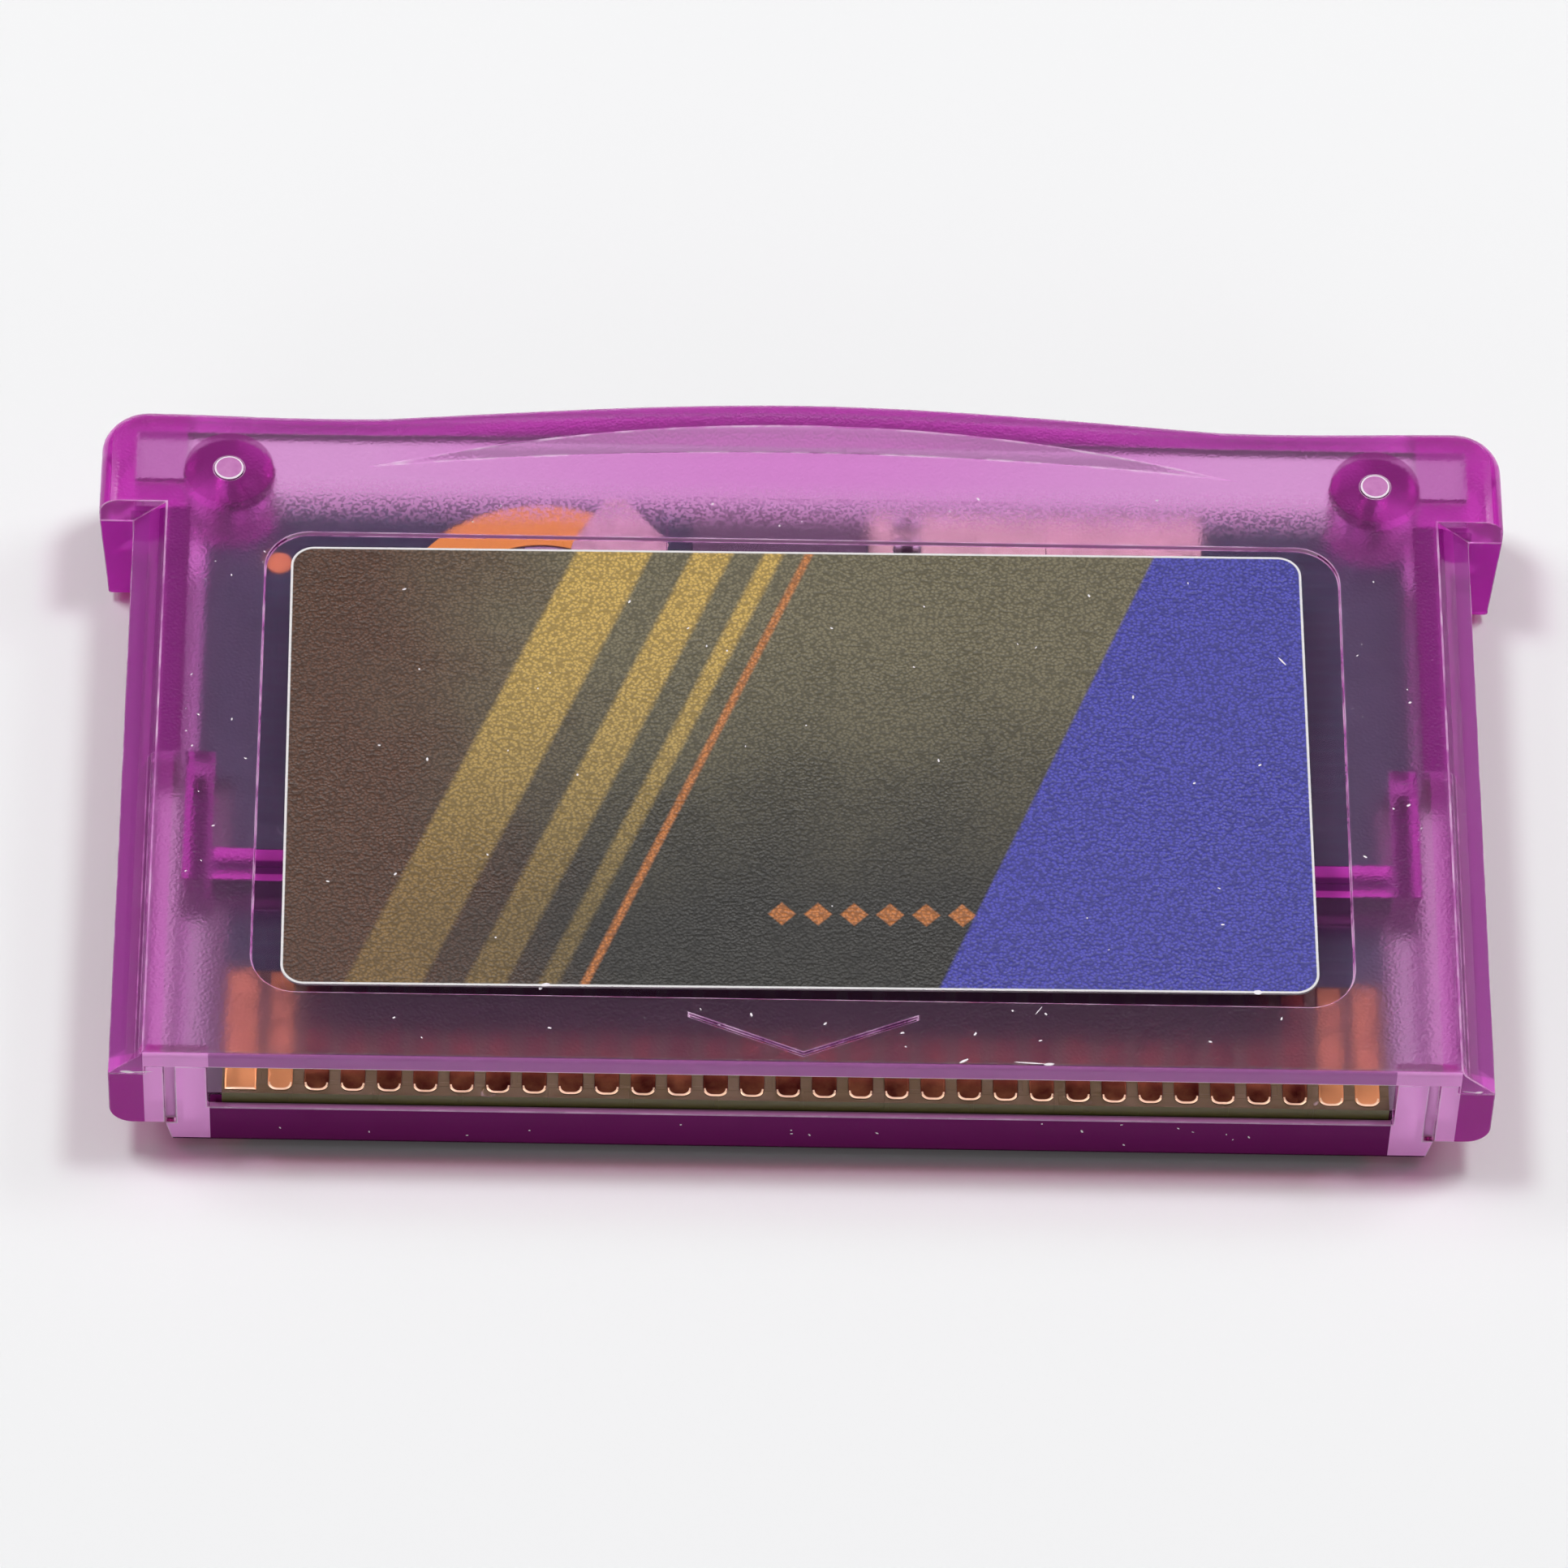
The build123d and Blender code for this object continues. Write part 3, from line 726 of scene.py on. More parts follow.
    def write(self, graph: MaterialGraph) -> None:
        """Writes the print, its white rim, and the grain of the sticker, with painted shade in the grain's
        hollows and a painted highlight on its tops.

        Args:
            graph: The material's graph.
        """
        x, y, _ = graph.axes(graph.place(self.centre, self.turn))
        grain = graph.group(Effect.MOULD_GRAIN, Size=self.grain_size, Wander=self.grain_wander)
        colour = self.artwork(graph, x, y)
        # Painted shade in the grain's hollows and a painted highlight on its tops
        grain_light = graph.between(grain.outputs["Height"], *self.grain_height, *self.grain_shade_and_highlight)
        grey = graph.node("CombineColor", dict.fromkeys(range(3), grain_light)).outputs[0]
        colour = graph.mix(1.0, colour, grey, "MULTIPLY")
        limits = (-self.rim * part for part in self.rim_edge)
        border = graph.between(self.edge_distance(graph, x, y), *limits)
        colour = graph.mix(border, colour, self.paper)
        patches = graph.patches(*self.patch)
        graph.skin(colour, patches, self.gloss, grain.outputs["Height"], self.grain_depth)


@dataclass(frozen=True)
class SolderMask(Finish):
    """A green board: lacquer over fine copper tracks."""

    lacquer: Colour = (0.008, 0.042, 0.045)
    track: Colour = (0.014, 0.065, 0.06)
    bare: Colour = (0.09, 0.082, 0.02)
    bare_below: float = -10.9 * MM
    bare_fade: float = 0.1 * MM
    pitch: float = 1.1 * MM
    track_width: float = 0.09
    track_length: float = 3.2
    track_step: float = 0.62
    track_offset: float = 0.37
    hole_pitch: float = 2.6 * MM
    hole_scatter: float = 0.8
    hole_edge: Span = (0.1, 0.14)
    patch: Span = (2.0 * MM, 0.5)
    patch_share: float = 0.25
    gloss: Span = (0.28, 0.42)
    relief: float = 0.03 * MM

    def write(self, graph: MaterialGraph) -> None:
        """Writes the lacquer, lighter over the tracks and bare beside the contacts.

        Args:
            graph: The material's graph.
        """
        own = graph.own()
        weave = {
            "Vector": own,
            "Scale": 1 / self.pitch,
            "Mortar Size": self.track_width,
            "Brick Width": self.track_length,
            "Row Height": self.track_step,
        }
        tracks = graph.node("TexBrick", weave, offset=self.track_offset).outputs["Fac"]
        scatter = {"Vector": own, "Scale": 1 / self.hole_pitch, "Randomness": self.hole_scatter}
        holes = graph.node("TexVoronoi", scatter).outputs["Distance"]
        raised = graph.math("MAXIMUM", tracks, graph.between(holes, *self.hole_edge, 1.0, 0.0))
        limits = (self.bare_below - self.bare_fade, self.bare_below)
        bare = graph.between(graph.axes(own)[1], *limits, 1.0, 0.0)
        patches = graph.patches(*self.patch)
        green = graph.mix(raised, self.lacquer, self.track)
        green = graph.mix(graph.math("MULTIPLY", patches, self.patch_share), green, self.lacquer)
        graph.skin(graph.mix(bare, green, self.bare), patches, self.gloss, raised, self.relief)


@dataclass(frozen=True)
class PlatedMetal(Finish):
    """Bare or plated metal with a faint drawn texture and dulled patches."""

    colour: Colour
    dull: Colour
    roughness: float
    line_depth: float = 0.002 * MM
    line_length: float = 2.0 * MM
    line_width: float = 0.04 * MM
    patch: Span = (0.9 * MM, 0.6)
    spread: Span = (0.8, 1.35)

    def write(self, graph: MaterialGraph) -> None:
        """Writes metal that dulls in soft patches.

        Args:
            graph: The material's graph.
        """
        patches = graph.patches(*self.patch)
        lines = graph.brushed(self.line_width, self.line_length)
        graph.shader.inputs["Metallic"].default_value = 1.0
        colour = graph.mix(patches, self.colour, self.dull)
        rough = tuple(self.roughness * part for part in self.spread)
        graph.skin(colour, patches, rough, lines, self.line_depth)


@dataclass(frozen=True)
class MouldedResin(Finish):
    """Opaque moulded or fired bodies of small parts, with a sandy skin."""

    colour: Colour = (0.03, 0.03, 0.035)
    pale: Colour = (0.06, 0.06, 0.065)
    roughness: float = 0.55
    grain_size: float = 0.08 * MM
    grain_wander: float = 0.8
    grain_depth: float = 0.006 * MM
    tones: Span = (0.4, 0.6)
    patch: Span = (1.2 * MM, 0.5)
    uneven: float = 0.1

    def write(self, graph: MaterialGraph) -> None:
        """Writes a sandy skin with soft patches.

        Args:
            graph: The material's graph.
        """
        grain = graph.group(Effect.MOULD_GRAIN, Size=self.grain_size, Wander=self.grain_wander)
        patches = graph.patches(*self.patch)
        of_grain, of_patches = self.tones
        soft = graph.math("MULTIPLY", patches, of_patches)
        tone = graph.math("MULTIPLY_ADD", grain.outputs["Tone"], of_grain, soft)
        colour = graph.mix(tone, self.colour, self.pale)
        rough = (self.roughness - self.uneven, self.roughness + self.uneven)
        graph.skin(colour, patches, rough, grain.outputs["Height"], self.grain_depth)


@dataclass(frozen=True)
class ShrinkFilm(Finish):
    """The yellow film round the cell, a little wrinkled."""

    colour: Colour = (1.0, 0.66, 0.06)
    deep: Colour = (0.98, 0.6, 0.05)
    patch: Span = (2.5 * MM, 0.5)
    gloss: Span = (0.25, 0.4)
    wrinkle: float = 1.1 * MM
    wrinkle_depth: float = 0.02 * MM

    def write(self, graph: MaterialGraph) -> None:
        """Writes a glossy film with soft wrinkles.

        Args:
            graph: The material's graph.
        """
        patches = graph.patches(*self.patch)
        colour = graph.mix(patches, self.colour, self.deep)
        graph.skin(colour, patches, self.gloss, graph.noise(self.wrinkle), self.wrinkle_depth)


@dataclass(frozen=True)
class TarnishedContact(Finish):
    """Gold plating worn to a red-brown tarnish, lighter towards both ends of the row as painted light, with
    a painted highlight on its rims.
    """

    bright: Colour = (0.37, 0.21, 0.068)
    tarnish: Colour = (0.025, 0.0035, 0.0025)
    clean: Colour = (0.105, 0.022, 0.015)
    clean_from: Span = (-16.2 * MM, -15.4 * MM)
    rim: Colour = (0.46, 0.44, 0.22)
    bright_left: float = -20.8 * MM
    bright_right: float = 21.2 * MM
    fade: float = 0.5 * MM
    patch: Span = (0.9 * MM, 0.6)
    patch_share: float = 0.15
    gloss: Span = (0.32, 0.45)
    line_width: float = 0.05 * MM
    line_length: float = 0.5 * MM
    line_depth: float = 0.001 * MM

    def write(self, graph: MaterialGraph) -> None:
        """Writes tarnish, with painted light towards the ends of the row and a painted highlight on the
        rims.

        Args:
            graph: The material's graph.
        """
        x, y, _ = graph.axes(graph.own())
        left = graph.between(x, self.bright_left - self.fade, self.bright_left + self.fade, 1.0, 0.0)
        right = graph.between(x, self.bright_right - self.fade, self.bright_right + self.fade)
        patches = graph.patches(*self.patch)
        # Painted light: the contacts are lighter towards both ends of the row; random patches are cleaner
        # plating
        ends = graph.math("MAXIMUM", left, right)
        clear = graph.math("MAXIMUM", ends, graph.math("MULTIPLY", patches, self.patch_share))
        worn = graph.mix(graph.between(y, *self.clean_from), self.tarnish, self.clean)
        # Painted highlight: the marked rim faces take a paler gold
        colour = graph.mix(graph.eased(), graph.mix(clear, worn, self.bright), self.rim)
        graph.shader.inputs["Metallic"].default_value = 1.0
        lines = graph.brushed(self.line_width, self.line_length)
        graph.skin(colour, patches, self.gloss, lines, self.line_depth)


@dataclass(frozen=True)
class WhitenedPlastic(Finish):
    """Plastic whitened by force: staked pin heads, chips, scratches and lint."""

    colour: Colour = (0.52, 0.16, 0.45)
    pale: Colour = (0.6, 0.22, 0.52)
    roughness: float = 0.5
    rim: Colour = (0.92, 0.8, 0.9)
    patch: Span = (0.4 * MM, 0.6)
    uneven: float = 0.1
    grain_size: float = 0.1 * MM
    grain_depth: float = 0.01 * MM

    def write(self, graph: MaterialGraph) -> None:
        """Writes a pale matt skin with soft patches and paler edges.

        Args:
            graph: The material's graph.
        """
        patches = graph.patches(*self.patch)
        colour = graph.mix(graph.eased(), graph.mix(patches, self.colour, self.pale), self.rim)
        rough = (self.roughness - self.uneven, self.roughness + self.uneven)
        graph.skin(colour, patches, rough, graph.noise(self.grain_size), self.grain_depth)


SHELL_FRONT = ClearPlastic("purple_clear_plastic")
SHELL_REAR = ClearPlastic(
    "purple_rear_plastic", face_shadow=(0.5, 0.2, 0.36), wall_shadow=(0.4, 0.12, 0.26)
)
CONTACT = TarnishedContact("tarnished_contact")
STAKED = WhitenedPlastic("staked_plastic")
FLAKE = WhitenedPlastic("pale_flake", (0.9, 0.82, 0.88), (0.95, 0.92, 0.94), 0.7)
LABEL = PrintedLabel("printed_label")
BOARD = SolderMask("green_solder_mask")
GOLD = PlatedMetal("pale_gold_plate", (0.44, 0.42, 0.31), (0.38, 0.36, 0.27), 0.5)
COPPER = PlatedMetal("copper_pad", (0.42, 0.24, 0.07), (0.36, 0.2, 0.06), 0.5)
TIN = PlatedMetal("bright_tin", (0.78, 0.78, 0.8), (0.55, 0.55, 0.58), 0.35)
NICKEL = PlatedMetal("nickel_strip", (0.39, 0.37, 0.3), (0.32, 0.3, 0.25), 0.5, 0.003 * MM)
STEEL = PlatedMetal("drawn_steel", (0.72, 0.72, 0.73), (0.55, 0.55, 0.57), 0.28, 0.003 * MM)
ZINC = PlatedMetal("zinc_screw", (0.62, 0.62, 0.64), (0.42, 0.42, 0.45), 0.35)
CHIP_RESIN = MouldedResin("black_epoxy")
CAPACITOR = MouldedResin("fired_ceramic", (0.42, 0.27, 0.14), (0.5, 0.34, 0.2), 0.4)
RESISTOR = MouldedResin("resistor_glaze", (0.012, 0.012, 0.014), (0.03, 0.03, 0.034), 0.3)
FILM = ShrinkFilm("yellow_shrink_film")


# Modelling by hand


def choose(piece: Piece) -> None:
    """Makes a piece the active one and the only one selected.

    Args:
        piece: The piece.
    """
    bpy.ops.object.select_all(action="DESELECT")
    bpy.context.view_layer.objects.active = piece
    piece.select_set(True)


def linked(name: str, data: bpy.types.ID) -> Piece:
    """Puts a new object into the scene.

    Args:
        name: Its name.
        data: Its mesh, lamp or camera.

    Returns:
        The object.
    """
    made = bpy.data.objects.new(name, data)
    bpy.context.scene.collection.objects.link(made)
    return made


@contextmanager
def editing(piece: Piece) -> Iterator[None]:
    """Opens a piece for the editing of its faces with none selected, and closes it again.

    Args:
        piece: The piece to edit.
    """
    choose(piece)
    bpy.ops.object.mode_set(mode="EDIT")
    bpy.ops.mesh.select_mode(type="FACE")
    bpy.ops.mesh.select_all(action="DESELECT")
    yield
    bpy.ops.object.mode_set(mode="OBJECT")
    piece.select_set(False)


def select_faces(piece: Piece, chosen: FaceTest) -> int:
    """Selects the faces of a piece in edit mode that a test accepts.

    Args:
        piece: The piece, in edit mode.
        chosen: The test.

    Returns:
        How many faces were selected.
    """
    bpy.ops.mesh.select_all(action="DESELECT")
    bpy.ops.object.mode_set(mode="OBJECT")
    count = 0
    for face in piece.data.polygons:
        face.select = chosen(face)
        count += face.select
    bpy.ops.object.mode_set(mode="EDIT")
    return count


def apply_modifiers(piece: Piece) -> None:
    """Applies all modifiers of a piece, in order.

    Args:
        piece: The piece.
    """
    choose(piece)
    for modifier in list(piece.modifiers):
        bpy.ops.object.modifier_apply(modifier=modifier.name)


def copy_node(node: str, name: str) -> Piece:
    """Copies a solid's mesh into a new piece, with its loose triangles joined up.

    Args:
        node: The solid's node.
        name: The new piece's name.

    Returns:
        The piece.
    """
    piece = linked(name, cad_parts[node].data.copy())
    with editing(piece):
        bpy.ops.mesh.select_all(action="SELECT")
        bpy.ops.mesh.remove_doubles(threshold=TOUCH)
        bpy.ops.mesh.customdata_custom_splitnormals_clear()
        bpy.ops.mesh.dissolve_limited(angle_limit=math.radians(0.2))
    return piece


def ease_edges(piece: Piece, width: float, angle: float, marked: FaceTest) -> None:
    """Rounds the sharp edges of a piece and marks the new faces for the finish.

    Args:
        piece: The piece.
        width: The width of the rounding.
        angle: The least angle, in degrees, of an edge that is rounded.
        marked: A test of which new faces get the mark.
    """
    while len(piece.data.materials) < 2:
        piece.data.materials.append(None)
    bevel = piece.modifiers.new("eased_edges", "BEVEL")
    bevel.width = width
    bevel.segments = 2
    bevel.limit_method = "ANGLE"
    bevel.angle_limit = math.radians(angle)
    bevel.use_clamp_overlap = False
    bevel.material = 1
    apply_modifiers(piece)
    mark_faces(piece, lambda face: face.material_index == 1 and marked(face))
    for face in piece.data.polygons:
        face.material_index = 0


def mark_faces(piece: Piece, chosen: FaceTest) -> None:
    """Marks the faces that a finish shows as worn or bright.

    Args:
        piece: The piece.
        chosen: A test of which faces get the mark.
    """
    mark = piece.data.attributes.new(EDGE_MARK, "FLOAT", "FACE")
    for face in piece.data.polygons:
        mark.data[face.index].value = float(chosen(face))


def smooth_shading(piece: Piece, angle: float) -> None:
    """Shades a piece smoothly across edges under an angle, and keeps its large faces flat.

    Args:
        piece: The piece.
        angle: The angle, in degrees.
    """
    choose(piece)
    bpy.ops.object.shade_smooth_by_angle(angle=math.radians(angle))
    flat = piece.modifiers.new("flat_faces", "WEIGHTED_NORMAL")
    flat.weight = 100
    flat.keep_sharp = True
    apply_modifiers(piece)


# Sub-assemblies


@dataclass
class CaseShell:
    """One half of the case: the solid's own form, with eased edges and its joints opened by a hair."""

    node: str
    name: str
    slot: str
    seam_heights: tuple[float, ...]
    seam_side: float
    seam_gap: float = 0.012 * MM
    ease: float = 0.05 * MM
    face_low: float = 5.95 * MM
    flank: float = 26.2 * MM
    ends: float = 16.9 * MM
    mouth: float = 24.45 * MM
    finish: Finish = SHELL_FRONT
    least_angle: float = 28.0
    smooth_angle: float = 40.0

    def build(self) -> Piece:
        """Models the half.

        Returns:
            The piece, which stands for the solid.
        """
        piece = copy_node(self.node, self.name)
        with editing(piece):
            if select_faces(piece, self.meets_other_half):
                bpy.ops.transform.translate(value=(0.0, 0.0, -self.seam_side * self.seam_gap))
        ease_edges(piece, self.ease, self.least_angle, self.is_outside)
        smooth_shading(piece, self.smooth_angle)
        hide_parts(self.node)
        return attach(self.finish.dress(piece), ROOT)

    def is_outside(self, face: Face) -> bool:
        """Tells which eased faces are marked as edges paled by wear and by a painted highlight.

        Args:
            face: A face of the half.

        Returns:
            Whether it lies there.
        """
        x, y, z = face.center
        lip = y < -self.ends and z > self.face_low and abs(x) < self.mouth
        outer = z > self.face_low or abs(x) > self.flank or abs(y) > self.ends
        return outer and not lip and y < self.ends

    def meets_other_half(self, face: Face) -> bool:
        """Whether a face lies on the other half or, in the front half, on the board."""
        level = any(abs(face.center.z - height) < TOUCH for height in self.seam_heights)
        return level and face.normal.z * self.seam_side > FLAT_UP


@dataclass
class EdgeContacts:
    """The row of contacts: the solids' own form, with rounded rims, and the rims and the outer rings of
    their tops at the front marked for a painted highlight.
    """

    node: str = "edge_contacts"
    name: str = "contact_row"
    slot: str = "gold_plating"
    ease: float = 0.04 * MM
    rim: float = 0.07 * MM
    rounded: float = -16.2 * MM
    least_angle: float = 50.0
    smooth_angle: float = 40.0
    rim_front: float = -0.15

    def build(self) -> Piece:
        """Models the row.

        Returns:
            The piece, which stands for the solids.
        """
        piece = copy_node(self.node, self.name)
        ease_edges(piece, self.ease, self.least_angle, self.is_rim)
        with editing(piece):
            select_faces(piece, self.is_top)
            bpy.ops.mesh.inset(thickness=self.rim)
        # The outer ring of each top face at the front is marked for the painted highlight
        mark = piece.data.attributes[EDGE_MARK]
        for face in piece.data.polygons:
            if self.is_top(face) and not face.select and face.center.y < self.rounded:
                mark.data[face.index].value = 1.0
        smooth_shading(piece, self.smooth_angle)
        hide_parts(self.node)
        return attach(CONTACT.dress(piece), ROOT)

    def is_top(self, face: Face) -> bool:
        """Whether a face is on the flat upper side."""
        return face.normal.z > FLAT_UP

    def is_rim(self, face: Face) -> bool:
        """Whether a rounded face lies on the upper side and looks out of the mouth."""
        return face.normal.z > 0.0 and face.normal.y < self.rim_front


@dataclass
class StakedPins:
    """The pale heads of the two pins that hold the halves together."""

    name: str = "pin_head"
    slot: str = "shell_rear"
    across: float = 24.55 * MM
    along: float = 13.4 * MM
    seat: float = 6.3 * MM
    radius: float = 0.62 * MM
    rise: float = 0.03 * MM
    crown: float = 0.02 * MM
    corners: int = 48
    chamfer: float = 0.12
    dome: float = 0.4
    flat_up: float = 0.98
    smooth_angle: float = 50.0

    def build(self) -> list[Piece]:
        """Models one head and copies it for the other pin.

        Returns:
            The two heads.
        """
        bpy.ops.object.select_all(action="DESELECT")
        place = (Side.LEFT.value * self.across, self.along, self.seat)
        circle = {"vertices": self.corners, "radius": self.radius, "fill_type": "NGON"}
        bpy.ops.mesh.primitive_circle_add(**circle, location=place)
        left = bpy.context.object
        left.name = self.name + "_left"
        bpy.ops.object.transform_apply(location=True)
        with editing(left):
            bpy.ops.mesh.select_all(action="SELECT")
            bpy.ops.mesh.extrude_region_move(TRANSFORM_OT_translate={"value": (0.0, 0.0, self.rise)})
            bpy.ops.mesh.inset(thickness=self.radius * self.chamfer)
            bpy.ops.transform.translate(value=(0.0, 0.0, self.crown))
            bpy.ops.mesh.inset(thickness=self.radius * self.dome)
            bpy.ops.mesh.select_all(action="SELECT")
            bpy.ops.mesh.normals_make_consistent(inside=False)
        mark_faces(left, lambda face: face.normal.z < self.flat_up)
        smooth_shading(left, self.smooth_angle)
        right = linked(self.name + "_right", left.data.copy())
        right.data.transform(Matrix.Translation((2 * Side.RIGHT.value * self.across, 0.0, 0.0)))
        return [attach(STAKED.dress(head), ROOT) for head in (left, right)]


@dataclass(frozen=True)
class Mark:
    """A fleck, chip or scratch, in millimetres: its place as seen along the lay, its size and its turn."""

    across: float
    along: float
    length: float
    width: float
    turn: float = 0.0
    lay: Lay = Lay.FLAT


@dataclass
class SurfaceMarks:
    """Lint, chips and scratches that lie on the case and the label."""

    carriers: list[Piece]
    name: str = "wear_flecks"
    slot: str = "shell_front"
    seed: int = 11
    thickness: float = 0.012 * MM
    far: float = 50.0 * MM
    chips: tuple[Mark, ...] = (
        Mark(-10.65, -13.38, 0.42, 0.2, 10.0),
        Mark(-10.85, -13.45, 0.25, 0.16, 60.0),
        Mark(18.81, -13.2, 0.42, 0.26, 0.0),
        Mark(20.3, 4.0, 0.62, 0.09, -52.0),
        Mark(9.72, -14.35, 0.6, 0.045, 55.0),
        Mark(6.6, -16.95, 0.5, 0.12, 30.0),
        Mark(9.3, -17.0, 1.5, 0.07, -3.0),
        Mark(10.1, -17.05, 0.5, 0.14, 4.0),
        Mark(-27.4, 5.03, 1.5, 0.07, 2.0, Lay.UPRIGHT),
        Mark(-27.8, 5.03, 0.7, 0.2, -6.0, Lay.UPRIGHT),
        Mark(27.6, 5.03, 0.9, 0.06, -8.0, Lay.UPRIGHT),
        Mark(27.9, 5.03, 0.4, 0.16, 10.0, Lay.UPRIGHT),
    )
    lint_fields: tuple[tuple[int, float, float, float, float, Lay], ...] = (
        (16, -26.0, -22.9, -9.0, 9.0, Lay.FLAT),
        (12, 22.9, 26.0, -9.0, 9.0, Lay.FLAT),
        (16, -18.0, 20.0, -16.6, -14.3, Lay.FLAT),
        (10, -20.0, 22.0, 10.6, 12.8, Lay.FLAT),
        (34, -20.5, 20.5, -12.5, 8.5, Lay.FLAT),
        (18, -22.0, 20.0, 0.5, 2.3, Lay.UPRIGHT),
    )
    lint_width: Span = (0.05, 0.11)
    lint_stretch: Span = (1.0, 2.4)
    flat_bottom: float = -0.1

    def build(self) -> Piece:
        """Models one fleck, lays a copy at each mark and joins them.

        Returns:
            The joined flecks.
        """
        bpy.context.view_layer.update()
        pattern = self.fleck()
        laid = [self.laid(pattern, mark) for mark in (*self.chips, *self.lint())]
        bpy.ops.object.select_all(action="DESELECT")
        for piece in laid:
            piece.select_set(True)
        bpy.context.view_layer.objects.active = laid[0]
        bpy.ops.object.join()
        bpy.data.objects.remove(pattern)
        laid[0].name = self.name
        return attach(FLAKE.dress(laid[0]), ROOT)

    def lint(self) -> list[Mark]:
        """Scatters lint over its fields, the same way each time.

        Returns:
            The lint as marks.
        """
        chance = random.Random(self.seed)
        marks = []
        for count, left, right, low, high, lay in self.lint_fields:
            for _ in range(count):
                size = chance.uniform(*self.lint_width)
                place = (chance.uniform(left, right), chance.uniform(low, high))
                length = size * chance.uniform(*self.lint_stretch)
                marks.append(Mark(*place, length, size, chance.uniform(0.0, 180.0), lay))
        return marks

    def fleck(self) -> Piece:
        """Models a flat-bottomed flake one unit long.

        Returns:
            The flake, about the origin.
        """
        bpy.ops.object.select_all(action="DESELECT")
        bpy.ops.mesh.primitive_ico_sphere_add(subdivisions=1, radius=0.5)
        flake = bpy.context.object
        with editing(flake):
            bpy.ops.mesh.select_all(action="SELECT")
            cut = {"plane_co": (0.0, 0.0, self.flat_bottom), "plane_no": (0.0, 0.0, 1.0)}
            bpy.ops.mesh.bisect(**cut, use_fill=True, clear_inner=True)
            bpy.ops.mesh.select_all(action="SELECT")
            bpy.ops.mesh.normals_make_consistent(inside=False)
        return flake

    def laid(self, pattern: Piece, mark: Mark) -> Piece:
        """Lays a copy of the flake on the carrier that is nearest along the mark's lay.

        Args:
            pattern: The flake.
            mark: Where it goes.

        Returns:
            The copy, with its place in its mesh.
        """
        if mark.lay is Lay.FLAT:
            start, way = Vector((mark.across * MM, mark.along * MM, self.far)), Vector((0.0, 0.0, -1.0))
        else:
            start, way = Vector((mark.across * MM, -self.far, mark.along * MM)), Vector((0.0, 1.0, 0.0))
        hits = [carrier.ray_cast(start, way) for carrier in self.carriers]
        spots = [((spot - start).length, spot, normal) for hit, spot, normal, _ in hits if hit]
        _, spot, normal = min(spots, key=lambda found: found[0])
        turn = normal.to_track_quat("Z", "Y").to_matrix().to_4x4()
        spin = Matrix.Rotation(math.radians(mark.turn), 4, "Z")
        size = Matrix.Diagonal((mark.length * MM, mark.width * MM, self.thickness, 1.0))
        copy = linked(self.name, pattern.data.copy())
        copy.data.transform(Matrix.Translation(spot) @ turn @ spin @ size)
        return copy


@dataclass
class DressedNodes:
    """Solids whose form is right as it is, listed under their finish."""

    nodes: dict[Finish, tuple[str, ...]]

    def dress(self) -> list[Piece]:
        """Puts each finish on its solids and returns them."""
        pairs = [(finish, node) for finish, nodes in self.nodes.items() for node in nodes]
        return [finish.dress(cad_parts[node]) for finish, node in pairs]


@dataclass(frozen=True)
class Softbox:
    """A rectangular lamp."""

    name: str
    place: Place
    width: float
    depth: float
    brightness: float

    def hang(self, target: Vector) -> None:
        """Hangs the lamp so that it faces a point.

        Args:
            target: The point.
        """
        lamp = bpy.data.lights.new(self.name, "AREA")
        lamp.shape = "RECTANGLE"
        lamp.size = self.width
        lamp.size_y = self.depth
        lamp.energy = self.brightness * math.pi * self.width * self.depth
        lamp.cycles.use_multiple_importance_sampling = False
        hung = linked(self.name, lamp)
        hung.location = self.place
        hung.rotation_euler = (Vector(self.place) - target).to_track_quat("Z", "Y").to_euler()


SOFTBOXES = (
    Softbox("left_key_softbox", (-0.33, 0.17, 0.88), 0.2, 0.2, 23.5),
    Softbox("right_key_softbox", (0.33, 0.17, 0.88), 0.2, 0.2, 23.5),
    Softbox("left_key", (-0.7, 0.35, 0.7), 0.35, 0.35, 4.5),
    Softbox("right_key", (0.7, 0.35, 0.7), 0.35, 0.35, 4.5),
    Softbox("overhead_softbox", (0.0, 0.2, 1.0), 1.0, 0.8, 0.3),
    Softbox("left_softbox", (-0.6, -0.9, 0.26), 0.5, 0.5, 1.0),
    Softbox("right_softbox", (0.6, -0.9, 0.26), 0.5, 0.5, 1.0),
)


